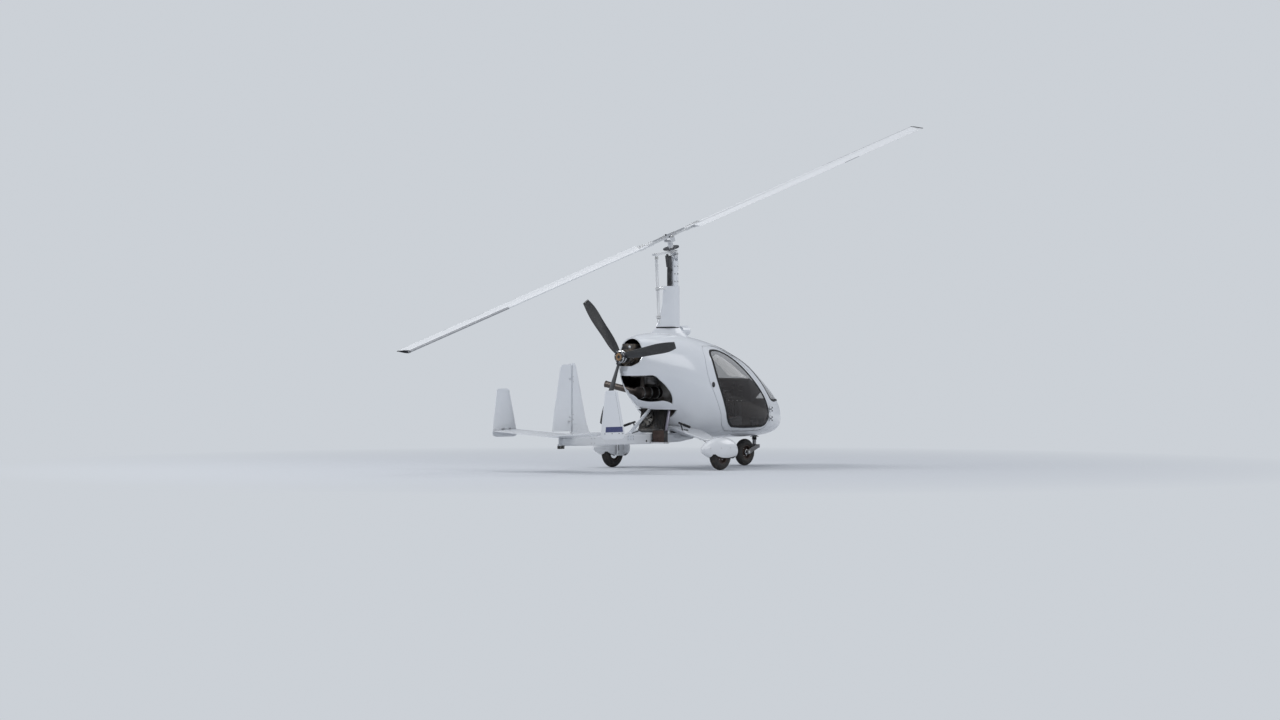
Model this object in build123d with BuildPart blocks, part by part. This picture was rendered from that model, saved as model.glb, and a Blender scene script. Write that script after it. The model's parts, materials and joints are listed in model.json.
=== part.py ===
"""A two-seat enclosed gyrocopter on tricycle gear, in millimetres.

+X is forward, +Y is to the left and +Z is up. The origin is on the ground, under the
middle of the rotor. The pod is a lofted composite shell that carries the mast, the pusher
engine and, through a low boom, a tail with three fins. The rotor stands tilted back.
"""

import os
from math import cos, radians, sin

from build123d import *

os.makedirs("parts", exist_ok=True)

# Wall thicknesses and gaps
POD_WALL = 14
GLASS_WALL = 4
DOOR_GAP = 5
FIT_GAP = 0.3
MOVING_GAP = 6

# Pod stations from tail to nose. Columns: x, bottom, top, height of greatest width,
# half width there, fullness of the upper and of the lower quarter (0.55 is an ellipse).
POD_STATIONS = (
    (-822, 1080, 1495, 1280, 75, 0.58, 0.50),
    (-675, 840, 1548, 1220, 205, 0.60, 0.38),
    (-405, 670, 1592, 1120, 395, 0.62, 0.38),
    (-55, 480, 1585, 1000, 575, 0.66, 0.50),
    (345, 362, 1525, 860, 665, 0.67, 0.62),
    (745, 347, 1405, 740, 650, 0.66, 0.68),
    (1145, 347, 1228, 640, 572, 0.64, 0.68),
    (1495, 358, 1010, 580, 448, 0.62, 0.66),
    (1725, 392, 830, 560, 300, 0.62, 0.62),
    (1830, 455, 695, 560, 150, 0.60, 0.60),
    (1867, 545, 585, 565, 22, 0.60, 0.60),
)
POD_CENTRE_X = 515
POD_CENTRE_Z = 960
POD_HALF_LENGTH = 1350
POD_HALF_WIDTH = 665
POD_HALF_HEIGHT = 620
SIDE_REACH = 900
SIDE_START = 120

# Rotor
ROTOR_RADIUS = 4300
ROTOR_TILT = 18
ROTOR_TURN = -6.6
HUB_HEIGHT = 2735
BLADE_CHORD = 220
BLADE_DEPTH = 26
BLADE_ROOT = 400

# Propeller
PROP_X = -876
PROP_Z = 1324
PROP_RADIUS = 855
PROP_TURNS = (80, 200, 320)
SHAFT_RADIUS = 20

# Main gear
AXLE_X = -51
HALF_TRACK = 825
MAIN_RADIUS = 170
MAIN_WIDTH = 100
RIM_RADIUS = 92
AXLE_RADIUS = 12.5

# Nose gear
NOSE_X = 1415
NOSE_RADIUS = 160
NOSE_WIDTH = 90
STEER_X = 1600
STEER_RADIUS = 22
HOUSING_RADIUS = 38

# Mast
MAST_REAR = 48
MAST_FRONT = 146
MAST_HALF = 37
MAST_CORNER = 20

# Tail
BOOM_LOW = 300
BOOM_HIGH = 420
STAB_HALF = 812
FIN_HINGE_X = -1797
TAIL_X = -1985


def quarter_curve(half, height, wide, fullness, side, rise):
    """One quarter of a body section, from the widest point to the crown or the keel."""
    return Bezier(
        (side * half, wide),
        (side * half, wide + rise * fullness * height),
        (side * fullness * half, wide + rise * height),
        (0, wide + rise * height),
    )


def body_volume(stations, centre, half_sizes, inset, side=0):
    """A body lofted through the stations, drawn in towards its centre by inset."""
    shrink_x, shrink_y, shrink_z = (1 - inset / size for size in half_sizes)
    with BuildPart() as volume:
        for x, low, high, wide, half, upper, lower in stations:
            place = centre[0] + (x - centre[0]) * shrink_x
            middle = centre[1] + (wide - centre[1]) * shrink_z
            above = (high - wide) * shrink_z
            below = (wide - low) * shrink_z
            width = half * shrink_y
            with BuildSketch(Plane.YZ.offset(place)):
                with Locations((side, 0)):
                    with BuildLine():
                        quarter_curve(width, above, middle, upper, 1, 1)
                        quarter_curve(width, above, middle, upper, -1, 1)
                        quarter_curve(width, below, middle, lower, -1, -1)
                        quarter_curve(width, below, middle, lower, 1, -1)
                    make_face()
        loft()
    return volume.part.moved(Location((0, side, 0)))


def pod_volume(inset):
    """The pod's outer form, drawn in by inset."""
    sizes = (POD_HALF_LENGTH, POD_HALF_WIDTH, POD_HALF_HEIGHT)
    return body_volume(POD_STATIONS, (POD_CENTRE_X, POD_CENTRE_Z), sizes, inset)


def arc_prism(points, start, end, grow=0.0):
    """A prism along Y from an outline of arcs, each through three points of the side view."""
    with BuildPart() as prism:
        with BuildSketch(Plane.XZ):
            with BuildLine():
                for index in range(0, len(points), 2):
                    ThreePointArc(
                        points[index],
                        points[index + 1],
                        points[(index + 2) % len(points)],
                    )
            make_face()
            if grow:
                offset(amount=grow)
        extrude(amount=end - start)
    low = prism.part.bounding_box().min.Y
    return prism.part.moved(Location((0, start - low, 0)))


def side_prism(points, side, grow=0.0):
    """A prism that reaches only through the left (side 1) or the right (side -1) wall."""
    if side > 0:
        return arc_prism(points, SIDE_START, SIDE_REACH, grow)
    return arc_prism(points, -SIDE_REACH, -SIDE_START, grow)


def tube_between(start, end, radius):
    """A round bar from one point to another."""
    first = Vector(*start)
    second = Vector(*end)
    along = second - first
    with BuildPart() as bar:
        with BuildSketch(Plane(origin=first, z_dir=along)):
            Circle(radius)
        extrude(amount=along.length)
    return bar.part


def bar_y(x, z, radius, start, end):
    """A round bar along Y."""
    return tube_between((x, start, z), (x, end, z), radius)


def block(low, high):
    """A box from its lowest to its highest corner."""
    size = [b - a for a, b in zip(low, high)]
    middle = [(a + b) / 2 for a, b in zip(low, high)]
    with BuildPart() as solid:
        with Locations(tuple(middle)):
            Box(*size)
    return solid.part


# Window, door and other outlines in side view: x and z, an even number of points
WINDOW_OUTLINE = (
    (184, 1391), (250, 1393), (316, 1386), (430, 1352), (549, 1296), (676, 1206),
    (803, 1092), (915, 985), (1024, 876), (1102, 784), (1157, 685), (1163, 594),
    (1132, 508), (1080, 489), (1020, 486), (760, 481), (521, 491), (438, 536),
    (333, 658), (244, 807), (167, 991), (127, 1161), (128, 1300), (142, 1365),
)
DOOR_OUTLINE = (
    (100, 1440), (210, 1443), (320, 1438), (440, 1402), (570, 1345), (705, 1252),
    (835, 1138), (950, 1030), (1065, 918), (1150, 806), (1205, 690), (1209, 580),
    (1175, 476), (1120, 448), (1060, 440), (760, 434), (490, 444), (390, 492),
    (262, 640), (150, 800), (48, 990), (8, 1160), (28, 1320), (52, 1400),
)
SCREEN_OUTLINE = (
    (500, 1760), (502, 1600), (520, 1440), (545, 1397), (590, 1372), (760, 1300),
    (908, 1215), (1013, 1102), (1140, 962), (1200, 888), (1262, 818), (1290, 796),
    (1330, 786), (1500, 790), (1780, 786), (2000, 1100), (1900, 1500), (1300, 1780),
)
RIGHT_OPENING = (
    (-900, 940), (-905, 1020), (-900, 1104), (-750, 1104), (-595, 1110), (-556, 1092),
    (-519, 1056), (-440, 986), (-370, 912), (-325, 850), (-283, 764), (-330, 790),
    (-397, 809), (-502, 797), (-630, 828), (-742, 902),
)
LEFT_OPENING = (
    (-706, 985), (-712, 1050), (-690, 1098), (-650, 1103), (-595, 1110), (-556, 1092),
    (-519, 1056), (-440, 986), (-370, 912), (-325, 850), (-283, 764), (-330, 790),
    (-397, 809), (-490, 797), (-590, 822), (-670, 885),
)
TAIL_OPENING_LEFT = 85

pod_outer = pod_volume(0)
pod_inner = pod_volume(POD_WALL)
pod_glass = pod_volume(GLASS_WALL)
pod_room = pod_volume(POD_WALL + 1)

# Gear bow, a composite leaf spring below the pod, with the axles at its tips
BOW_STATIONS = (
    (0, 497, 15, -195, 205),
    (150, 495, 15, -195, 205),
    (260, 476, 14, -193, 190),
    (480, 412, 12, -188, 130),
    (690, 346, 11, -170, 60),
)


def bow_volume(grow):
    """The leaf spring's two arms, made thicker all round by grow."""
    with BuildPart() as arms:
        for side in (-1, 1):
            for inner, outer in zip(BOW_STATIONS, BOW_STATIONS[1:]):
                with BuildPart(mode=Mode.ADD) as arm:
                    for y, z, half, rear, front in (inner, outer):
                        reach = y
                        if y == 0:
                            reach = 0
                        with BuildSketch(Plane.XZ.offset(-side * reach)):
                            with Locations(((rear + front) / 2, z)):
                                SlotOverall(front - rear + 2 * grow, 2 * (half + grow))
                    loft(ruled=True)
    return arms.part


bow_arms = bow_volume(0)
with BuildPart() as gear_bow:
    add(bow_arms)
    for side in (-1, 1):
        low, high = sorted((side * 689, side * 716))
        add(block((AXLE_X - 55, low, 140), (AXLE_X + 55, high, 352)))
        add(bar_y(AXLE_X, MAIN_RADIUS, AXLE_RADIUS, side * 700, side * (HALF_TRACK + 62)))
gear_bow.part.label = "gear_bow"
export_step(gear_bow.part, "parts/gear_bow.step")
bow_space = bow_volume(FIT_GAP)

# Openings in the shell for the mast, the nose leg and the radiator bay
with BuildPart() as mast_space:
    with BuildSketch(Plane.XY.offset(MAIN_RADIUS)):
        with Locations(((MAST_REAR + MAST_FRONT) / 2, 0)):
            RectangleRounded(MAST_FRONT - MAST_REAR + 4, 2 * MAST_HALF + 4, MAST_CORNER)
    extrude(amount=1600)
with BuildPart() as mast_fit:
    with BuildSketch(Plane.XY.offset(MAIN_RADIUS)):
        with Locations(((MAST_REAR + MAST_FRONT) / 2, 0)):
            RectangleRounded(MAST_FRONT - MAST_REAR + 2 * FIT_GAP,
                             2 * (MAST_HALF + FIT_GAP), MAST_CORNER + FIT_GAP)
    extrude(amount=2200)
steer_space = tube_between((STEER_X, 0, 300), (STEER_X, 0, 500), HOUSING_RADIUS + FIT_GAP)
with BuildPart() as bay_space:
    with BuildSketch(Plane.XZ.offset(-SIDE_REACH)):
        with BuildLine():
            Polyline(
                (-192, 380), (-192, 640), (-204, 700), (-420, 706), (-700, 800),
                (-900, 380), close=True,
            )
        make_face()
    extrude(amount=2 * SIDE_REACH)

# Pod shell with the hinges' fixed halves
HINGE_X = 1224
HINGE_Y = 574
HINGE_HEIGHTS = (572, 684)
KNUCKLE_RADIUS = 9
KNUCKLE_LENGTH = 20
PIN_RADIUS = 4

with BuildPart() as pod_shell:
    add(pod_outer)
    add(pod_inner, mode=Mode.SUBTRACT)
    for side in (-1, 1):
        add(side_prism(DOOR_OUTLINE, side, DOOR_GAP), mode=Mode.SUBTRACT)
    add(arc_prism(SCREEN_OUTLINE, -SIDE_REACH, SIDE_REACH), mode=Mode.SUBTRACT)
    add(arc_prism(RIGHT_OPENING, -SIDE_REACH, 0), mode=Mode.SUBTRACT)
    add(side_prism(LEFT_OPENING, 1), mode=Mode.SUBTRACT)
    add(block((-900, -1, 925), (-742, TAIL_OPENING_LEFT, 1104)), mode=Mode.SUBTRACT)
    with BuildSketch(Plane.XZ.offset(-SIDE_REACH)):
        with BuildLine():
            Polyline(
                (-1000, 1212), (-790, 1216), (-726, 1258), (-682, 1347), (-664, 1524),
                (-640, 1700), (-1000, 1700), close=True,
            )
        make_face()
    extrude(amount=2 * SIDE_REACH, mode=Mode.SUBTRACT)
    add(bow_space, mode=Mode.SUBTRACT)
    add(mast_space.part, mode=Mode.SUBTRACT)
    add(steer_space, mode=Mode.SUBTRACT)
    add(bay_space.part, mode=Mode.SUBTRACT)
    for side in (-1, 1):
        inner = side * (HINGE_Y - 34)
        outer = side * (HINGE_Y + 3)
        low, high = sorted((inner, outer))
        for height in HINGE_HEIGHTS:
            half = KNUCKLE_LENGTH / 2
            add(block((HINGE_X, low, height - half), (HINGE_X + 34, high, height + half)))
            add(tube_between((HINGE_X, side * HINGE_Y, height - half),
                             (HINGE_X, side * HINGE_Y, height + half), KNUCKLE_RADIUS))
            add(tube_between((HINGE_X, side * HINGE_Y, height - 30),
                             (HINGE_X, side * HINGE_Y, height + 30), PIN_RADIUS))
pod_shell.part.label = "pod_shell"
export_step(pod_shell.part, "parts/pod_shell.step")


def make_door(side):
    """One door panel with the moving halves of its hinges."""
    with BuildPart() as door:
        add(side_prism(DOOR_OUTLINE, side))
        add(pod_outer, mode=Mode.INTERSECT)
        add(pod_inner, mode=Mode.SUBTRACT)
        add(side_prism(WINDOW_OUTLINE, side), mode=Mode.SUBTRACT)
        low, high = sorted((side * (HINGE_Y - 34), side * (HINGE_Y + 3)))
        thin_low, thin_high = sorted((side * (HINGE_Y - 10), side * (HINGE_Y + 3)))
        for height in HINGE_HEIGHTS:
            for step in (-1, 1):
                middle = height + step * (KNUCKLE_LENGTH / 2 + 8.5)
                base = middle - 8
                add(block((HINGE_X - 42, low, base), (HINGE_X - 26, high, base + 16)))
                add(block((HINGE_X - 28, thin_low, base), (HINGE_X, thin_high, base + 16)))
                add(tube_between((HINGE_X, side * HINGE_Y, middle - 8),
                                 (HINGE_X, side * HINGE_Y, middle + 8), KNUCKLE_RADIUS))
            add(tube_between((HINGE_X, side * HINGE_Y, height - 40),
                             (HINGE_X, side * HINGE_Y, height + 40), PIN_RADIUS + FIT_GAP),
                mode=Mode.SUBTRACT)
    return door.part


def make_door_glass(side):
    """One side window, thinner than the wall and flush with the outside."""
    with BuildPart() as pane:
        add(side_prism(WINDOW_OUTLINE, side, -FIT_GAP))
        add(pod_outer, mode=Mode.INTERSECT)
        add(pod_glass, mode=Mode.SUBTRACT)
    return pane.part


pod_pad = pod_volume(-9)


def make_handle(side):
    """An oval handle pad that follows the door's surface."""
    with BuildPart() as pad:
        with BuildSketch(Plane.XZ.offset(-side * 560)):
            with Locations((76, 994)):
                Ellipse(17, 31)
        extrude(amount=-side * 120)
        add(pod_pad, mode=Mode.INTERSECT)
        add(pod_outer, mode=Mode.SUBTRACT)
    return pad.part


with BuildPart() as door_left:
    add(make_door(1))
door_left.part.label = "door_left"
export_step(door_left.part, "parts/door_left.step")

with BuildPart() as door_right:
    add(make_door(-1))
door_right.part.label = "door_right"
export_step(door_right.part, "parts/door_right.step")

with BuildPart() as door_glass_left:
    add(make_door_glass(1))
door_glass_left.part.label = "door_glass_left"
export_step(door_glass_left.part, "parts/door_glass_left.step")

with BuildPart() as door_glass_right:
    add(make_door_glass(-1))
door_glass_right.part.label = "door_glass_right"
export_step(door_glass_right.part, "parts/door_glass_right.step")

with BuildPart() as door_handle_left:
    add(make_handle(1))
door_handle_left.part.label = "door_handle_left"
export_step(door_handle_left.part, "parts/door_handle_left.step")

with BuildPart() as door_handle_right:
    add(make_handle(-1))
door_handle_right.part.label = "door_handle_right"
export_step(door_handle_right.part, "parts/door_handle_right.step")

with BuildPart() as windshield:
    add(arc_prism(SCREEN_OUTLINE, -SIDE_REACH, SIDE_REACH, -FIT_GAP))
    add(pod_outer, mode=Mode.INTERSECT)
    add(pod_glass, mode=Mode.SUBTRACT)
windshield.part.label = "windshield"
export_step(windshield.part, "parts/windshield.step")

# Cabin floor and firewall, both cut to the inside of the shell
FLOOR_Z = 400
with BuildPart() as cabin_floor:
    add(block((-8, -700, FLOOR_Z), (1640, 700, FLOOR_Z + 12)))
    add(pod_room, mode=Mode.INTERSECT)
    add(bow_space, mode=Mode.SUBTRACT)
    add(steer_space, mode=Mode.SUBTRACT)
cabin_floor.part.label = "cabin_floor"
export_step(cabin_floor.part, "parts/cabin_floor.step")

with BuildPart() as firewall:
    add(block((-24, -700, 520), (-9, 700, 1600)))
    add(pod_room, mode=Mode.INTERSECT)
firewall.part.label = "firewall"
export_step(firewall.part, "parts/firewall.step")

# Mast, standing on the gear bow, with the two plates that carry the roll bolt
MAST_FOOT = 512 + FIT_GAP
ROLL_Z = 2490
PITCH_X = 100
PITCH_Z = 2525
with BuildPart() as mast:
    with BuildSketch(Plane.XY.offset(MAST_FOOT)):
        with Locations(((MAST_REAR + MAST_FRONT) / 2, 0)):
            RectangleRounded(MAST_FRONT - MAST_REAR, 2 * MAST_HALF, MAST_CORNER)
            RectangleRounded(MAST_FRONT - MAST_REAR - 12, 2 * MAST_HALF - 12,
                             MAST_CORNER - 6, mode=Mode.SUBTRACT)
    extrude(amount=2440 - MAST_FOOT)
    add(block((MAST_REAR + 8, -32, 2425), (MAST_FRONT - 8, 32, 2440)))
    for rear in (60, 132):
        add(block((rear, -28, 2430), (rear + 8, 28, ROLL_Z + 14)))
    add(tube_between((54, 0, ROLL_Z), (146, 0, ROLL_Z), 8))
mast.part.label = "mast"
export_step(mast.part, "parts/mast.step")


def teardrop(z, rear, front, half):
    """A streamlined section at height z: round at the front, thin at the rear."""
    nose = front - half * 1.1
    with BuildSketch(Plane.XY.offset(z)) as section:
        with BuildLine():
            Bezier((front, 0), (front, half), (front - 17, half), (nose - 45, half))
            Bezier((nose - 45, half), (nose - 120, half), (rear + 20, 6), (rear, 2))
            Line((rear, 2), (rear, -2))
            Bezier((rear, -2), (rear + 20, -6), (nose - 120, -half), (nose - 45, -half))
            Bezier((nose - 45, -half), (front - 17, -half), (front, -half), (front, 0))
        make_face()
    return section.sketch


FAIRING_STATIONS = (
    (1662, -226, 164, 58),
    (1770, -172, 162, 57),
    (1920, -122, 161, 56),
    (2147, -92, 160, 55),
)
with BuildPart() as mast_fairing:
    for z, rear, front, half in FAIRING_STATIONS:
        add(teardrop(z, rear, front, half))
    loft(ruled=True)
    with BuildPart(mode=Mode.SUBTRACT):
        for z, rear, front, half in FAIRING_STATIONS:
            lift = {1662: -5, 2147: 5}.get(z, 0)
            add(teardrop(z + lift, rear + 30, front - 5, half - 5))
        loft(ruled=True)
    add(teardrop(2141, -92, 160, 55))
    extrude(amount=6)
    add(mast_fit.part, mode=Mode.SUBTRACT)
mast_fairing.part.label = "mast_fairing"
export_step(mast_fairing.part, "parts/mast_fairing.step")

# Moulded hump round the foot of the mast fairing, seated on the roof
with BuildPart() as hump:
    for z, rear, front, half in ((1500, -560, 330, 150), (1600, -330, 215, 84),
                                 (1652, -232, 170, 60)):
        add(teardrop(z, rear, front, half))
    loft(ruled=True)
with BuildPart() as mast_base:
    add(hump.part)
    with BuildPart(mode=Mode.SUBTRACT):
        for z, rear, front, half in ((1495, -520, 320, 142), (1600, -300, 208, 77),
                                     (1657, -200, 163, 53)):
            add(teardrop(z, rear, front, half))
        loft(ruled=True)
    add(pod_outer, mode=Mode.SUBTRACT)
mast_base.part.label = "mast_base"
export_step(mast_base.part, "parts/mast_base.step")

# Ram air scoop ahead of the mast
SCOOP_Z = 1618
with BuildPart() as air_scoop:
    add(tube_between((200, 0, SCOOP_Z), (335, 0, SCOOP_Z), 58))
    add(tube_between((210, 0, SCOOP_Z), (340, 0, SCOOP_Z), 50), mode=Mode.SUBTRACT)
    add(block((215, -30, 1520), (305, 30, SCOOP_Z - 52)))
    add(pod_outer, mode=Mode.SUBTRACT)
    add(hump.part, mode=Mode.SUBTRACT)
air_scoop.part.label = "air_scoop"
export_step(air_scoop.part, "parts/air_scoop.step")

# Rotor control rods behind the fairing, with their guide
with BuildPart() as control_rods:
    for side in (-1, 1):
        add(tube_between((-178, side * 13, 1700), (-224, side * 13, 2484), 9))
    add(block((-218, -28, 2106), (-70, 28, 2122)))
    add(block((-204, -28, 1776), (-150, 28, 1790)))
    add(mast_fairing.part, mode=Mode.SUBTRACT)
    add(block((-60, -60, 1600), (60, 60, 2300)), mode=Mode.SUBTRACT)
control_rods.part.label = "control_rods"
export_step(control_rods.part, "parts/control_rods.step")

# Prerotator drive on the back of the mast
with BuildPart() as prerotator:
    add(tube_between((12, 0, 2152), (12, 0, 2370), 25))
    add(block((4, -20, 2170), (MAST_REAR - FIT_GAP, 20, 2200)))
    add(block((4, -20, 2320), (MAST_REAR - FIT_GAP, 20, 2350)))
    with BuildSketch(Plane.XY.offset(2369)):
        with Locations((8, 0)):
            RectangleRounded(52, 48, 8)
    with BuildSketch(Plane.XY.offset(2505)):
        with Locations((-6, 0)):
            RectangleRounded(66, 56, 10)
    loft()
    add(tube_between((-22, 0, 2500), (-26, 0, 2522), 14))
prerotator.part.label = "prerotator"
export_step(prerotator.part, "parts/prerotator.step")

# Gimbal block: rolls on the mast's bolt and carries the pitch bolt
with BuildPart() as gimbal:
    add(block((74, -30, 2470), (126, 30, 2510)))
    add(block((82, -30, 2505), (118, 30, 2542)))
    add(tube_between((70, 0, ROLL_Z), (130, 0, ROLL_Z), 8 + FIT_GAP), mode=Mode.SUBTRACT)
    add(bar_y(PITCH_X, PITCH_Z, 7, -52, 52))
gimbal.part.label = "gimbal"
export_step(gimbal.part, "parts/gimbal.step")

# Everything above the gimbal is drawn in the rotor's own frame: along the blades, across
# them and along the spin axis, from the middle of the teeter bolt
rotor_frame = Location((0, 0, HUB_HEIGHT), (0, -ROTOR_TILT, 0))
turned_frame = rotor_frame * Location((0, 0, 0), (0, 0, ROTOR_TURN))
TILT = radians(ROTOR_TILT)


def to_rotor(x, z):
    """A point of the side view in the rotor's frame."""
    rise = z - HUB_HEIGHT
    return x * cos(TILT) + rise * sin(TILT), -x * sin(TILT) + rise * cos(TILT)


pitch_u, pitch_w = to_rotor(PITCH_X, PITCH_Z)
PLATE_W = pitch_w + 30
with BuildPart() as head_local:
    add(block((-44, -48, PLATE_W), (60, 48, PLATE_W + 8)))
    for side in (-1, 1):
        low, high = sorted((side * 36, side * 46))
        add(block((pitch_u - 15, low, pitch_w - 2), (pitch_u + 15, high, PLATE_W + 1)))
        add(bar_y(pitch_u, pitch_w, 15, low, high))
    add(bar_y(pitch_u, pitch_w, 7 + FIT_GAP, -60, 60), mode=Mode.SUBTRACT)
    add(tube_between((0, 0, PLATE_W + 7), (0, 0, PLATE_W + 40), 38))
    add(tube_between((0, 0, PLATE_W - 1), (0, 0, PLATE_W + 41), 16 + FIT_GAP),
        mode=Mode.SUBTRACT)
with BuildPart() as rotor_head:
    add(head_local.part.moved(rotor_frame))
    with BuildSketch(Plane(origin=(-262, 0, 2512), z_dir=(258, 0, 32), x_dir=(0, 1, 0))):
        Rectangle(30, 22)
    extrude(amount=300)
    add(block((-268, -30, 2502), (-214, 30, 2524)))
rotor_head.part.label = "rotor_head"
export_step(rotor_head.part, "parts/rotor_head.step")

# Hub: spindle, ring gear and the teeter tower
RING_W = -152
with BuildPart() as hub_local:
    add(tube_between((0, 0, PLATE_W + 2), (0, 0, -62), 16))
    add(tube_between((0, 0, RING_W), (0, 0, RING_W + 10), 92))
    add(tube_between((0, 0, RING_W + 9), (0, 0, -66), 30))
    add(block((-32, -62, -70), (32, 62, -60)))
    for side in (-1, 1):
        low, high = sorted((side * 52, side * 62))
        add(block((-32, low, -64), (32, high, 4)))
        add(bar_y(0, 0, 18, low, high))
    add(bar_y(0, 0, 8, -70, 70))
with BuildPart() as rotor_hub:
    add(hub_local.part.moved(turned_frame))
rotor_hub.part.label = "rotor_hub"
export_step(rotor_hub.part, "parts/rotor_hub.step")

# Hub bar between the blades
with BuildPart() as bar_local:
    with BuildSketch(Plane.XY.offset(-12)):
        with BuildLine():
            Polyline(
                (-396, -34), (-150, -34), (-90, -46), (90, -46), (150, -34), (396, -34),
                (396, 34), (150, 34), (90, 46), (-90, 46), (-150, 34), (-396, 34), close=True,
            )
        make_face()
    extrude(amount=24)
    add(bar_y(0, 0, 8 + FIT_GAP, -60, 60), mode=Mode.SUBTRACT)
with BuildPart() as hub_bar:
    add(bar_local.part.moved(turned_frame))
hub_bar.part.label = "hub_bar"
export_step(hub_bar.part, "parts/hub_bar.step")

# One blade: a constant section and the two grip plates that clamp the hub bar
half_depth = BLADE_DEPTH / 2
with BuildPart() as blade_local:
    with BuildSketch(Plane.YZ.offset(BLADE_ROOT)):
        with BuildLine():
            Bezier((55, 0), (55, 15), (25, half_depth + 3), (-20, half_depth))
            Bezier((-20, half_depth), (-60, half_depth - 3), (-120, 4), (-165, 1))
            Line((-165, 1), (-165, -1))
            Bezier((-165, -1), (-120, -2), (-60, -half_depth + 1), (-20, -half_depth + 1))
            Bezier((-20, -half_depth + 1), (25, -half_depth - 1), (55, -11), (55, 0))
        make_face()
    extrude(amount=ROTOR_RADIUS - BLADE_ROOT)
    for side in (-1, 1):
        low, high = sorted((side * (12 + FIT_GAP), side * 19))
        add(block((280, -33, low), (BLADE_ROOT + 130, 33, high)))
with BuildPart() as blade_front:
    add(blade_local.part.moved(turned_frame))
blade_front.part.label = "blade_front"
export_step(blade_front.part, "parts/blade_front.step")

with BuildPart() as blade_rear:
    opposite = blade_local.part.moved(Location((0, 0, 0), (0, 0, 180)))
    add(opposite.moved(turned_frame))
blade_rear.part.label = "blade_rear"
export_step(blade_rear.part, "parts/blade_rear.step")

# Engine: flat four, cut to stay inside the pod
with BuildPart() as engine:
    add(block((-560, -105, 1085), (-120, 105, 1290)))
    for middle in (-448, -242):
        for side in (-1, 1):
            low, high = sorted((side * 184, side * 240))
            add(tube_between((middle, side * 100, 1186), (middle, side * 190, 1186), 74))
            add(block((middle - 82, low, 1110), (middle + 82, high, 1262)))
            add(tube_between((middle, side * 236, 1186), (middle, side * 262, 1186), 58))
            add(tube_between((middle, side * 40, 1345), (middle, side * 150, 1345), 24))
            add(tube_between((middle, side * 143, 1350), (middle, side * 212, 1255), 22))
    add(tube_between((-330, 0, 1000), (-330, 0, 1090), 95))
    add(block((-400, -60, 1285), (-290, 60, 1330)))
    add(tube_between((-490, 0, 1345), (-190, 0, 1345), 52))
engine.part.label = "engine"
export_step(engine.part, "parts/engine.step")

with BuildPart() as gearbox:
    add(tube_between((-562 - FIT_GAP, 0, PROP_Z - 60), (-690, 0, PROP_Z - 20), 118))
    add(tube_between((-680, 0, PROP_Z), (-800, 0, PROP_Z), 92))
    add(block((-760, -70, PROP_Z + 40), (-600, 70, PROP_Z + 150)))
    add(block((-560 - FIT_GAP, -130, 1180), (-500, 130, 1400)), mode=Mode.SUBTRACT)
    add(tube_between((-790, 0, PROP_Z), (-812, 0, PROP_Z), 40))
    add(tube_between((-800, 0, PROP_Z), (-850, 0, PROP_Z), SHAFT_RADIUS))
gearbox.part.label = "gearbox"
export_step(gearbox.part, "parts/gearbox.step")

with BuildPart() as exhaust:
    add(tube_between((-190, 0, 900), (-560, 0, 900), 68))
    add(tube_between((-475, 0, 930), (-475, 0, 1085), 24))
    add(tube_between((-520, 30, 905), (-640, 430, 1000), 38))
    add(tube_between((-556, 150, 933.5), (-652, 470, 1009.5), 33), mode=Mode.SUBTRACT)
exhaust.part.label = "exhaust"
export_step(exhaust.part, "parts/exhaust.step")

with BuildPart() as engine_mount:
    for side in (-1, 1):
        for foot, top in ((700, 1120), (1380, 1270)):
            add(tube_between((-20, side * 220, foot), (-150, side * 90, top), 12))
    add(engine.part, mode=Mode.SUBTRACT)
    add(firewall.part, mode=Mode.SUBTRACT)
    add(block((-24, -300, 600), (50, 300, 1500)), mode=Mode.SUBTRACT)
engine_mount.part.label = "engine_mount"
export_step(engine_mount.part, "parts/engine_mount.step")

# Radiator and oil cooler below the engine
with BuildPart() as radiator_room:
    add(pod_inner)
    add(block((-420, -260, 300), (-180, 260, 700)))
pod_radiator = radiator_room.part
with BuildPart() as radiator:
    with BuildSketch(Plane.XZ.offset(190)):
        with BuildLine():
            Polyline((-330, 455), (-265, 425), (-200, 690), (-262, 722), close=True)
        make_face()
    extrude(amount=-380)
    add(tube_between((-300, -205, 440), (-238, -205, 696), 18))
    add(bar_y(-236, 709, 7, -420, 420))
    add(pod_radiator, mode=Mode.INTERSECT)
radiator.part.label = "radiator"
export_step(radiator.part, "parts/radiator.step")

with BuildPart() as oil_cooler:
    add(block((-394, -265, 321), (-336, -78, 458)))
    add(block((-408, -270, 308), (-322, -70, 321)))
    add(block((-372, -80, 330), (-354, -52, 345)))
oil_cooler.part.label = "oil_cooler"
export_step(oil_cooler.part, "parts/oil_cooler.step")


def make_seat(side):
    """One bucket seat: pan, back and side bolsters."""
    middle = side * 262
    with BuildPart() as seat:
        with BuildSketch(Plane.XZ.offset(-(middle - 205))):
            with BuildLine():
                Polyline(
                    (275, 414), (760, 414), (800, 585), (770, 610), (420, 560),
                    (330, 640), (235, 1170), (190, 1180), (170, 1150), close=True,
                )
            make_face()
        extrude(amount=-410)
        with BuildSketch(Plane.XZ.offset(-(middle - 150))):
            with BuildLine():
                Polyline(
                    (452, 545), (900, 620), (420, 1300), (230, 1300), (262, 1165),
                    (358, 648), close=True,
                )
            make_face()
        extrude(amount=-300, mode=Mode.SUBTRACT)
        add(pod_room, mode=Mode.INTERSECT)
    return seat.part


with BuildPart() as seat_left:
    add(make_seat(1))
seat_left.part.label = "seat_left"
export_step(seat_left.part, "parts/seat_left.step")

with BuildPart() as seat_right:
    add(make_seat(-1))
seat_right.part.label = "seat_right"
export_step(seat_right.part, "parts/seat_right.step")

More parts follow.
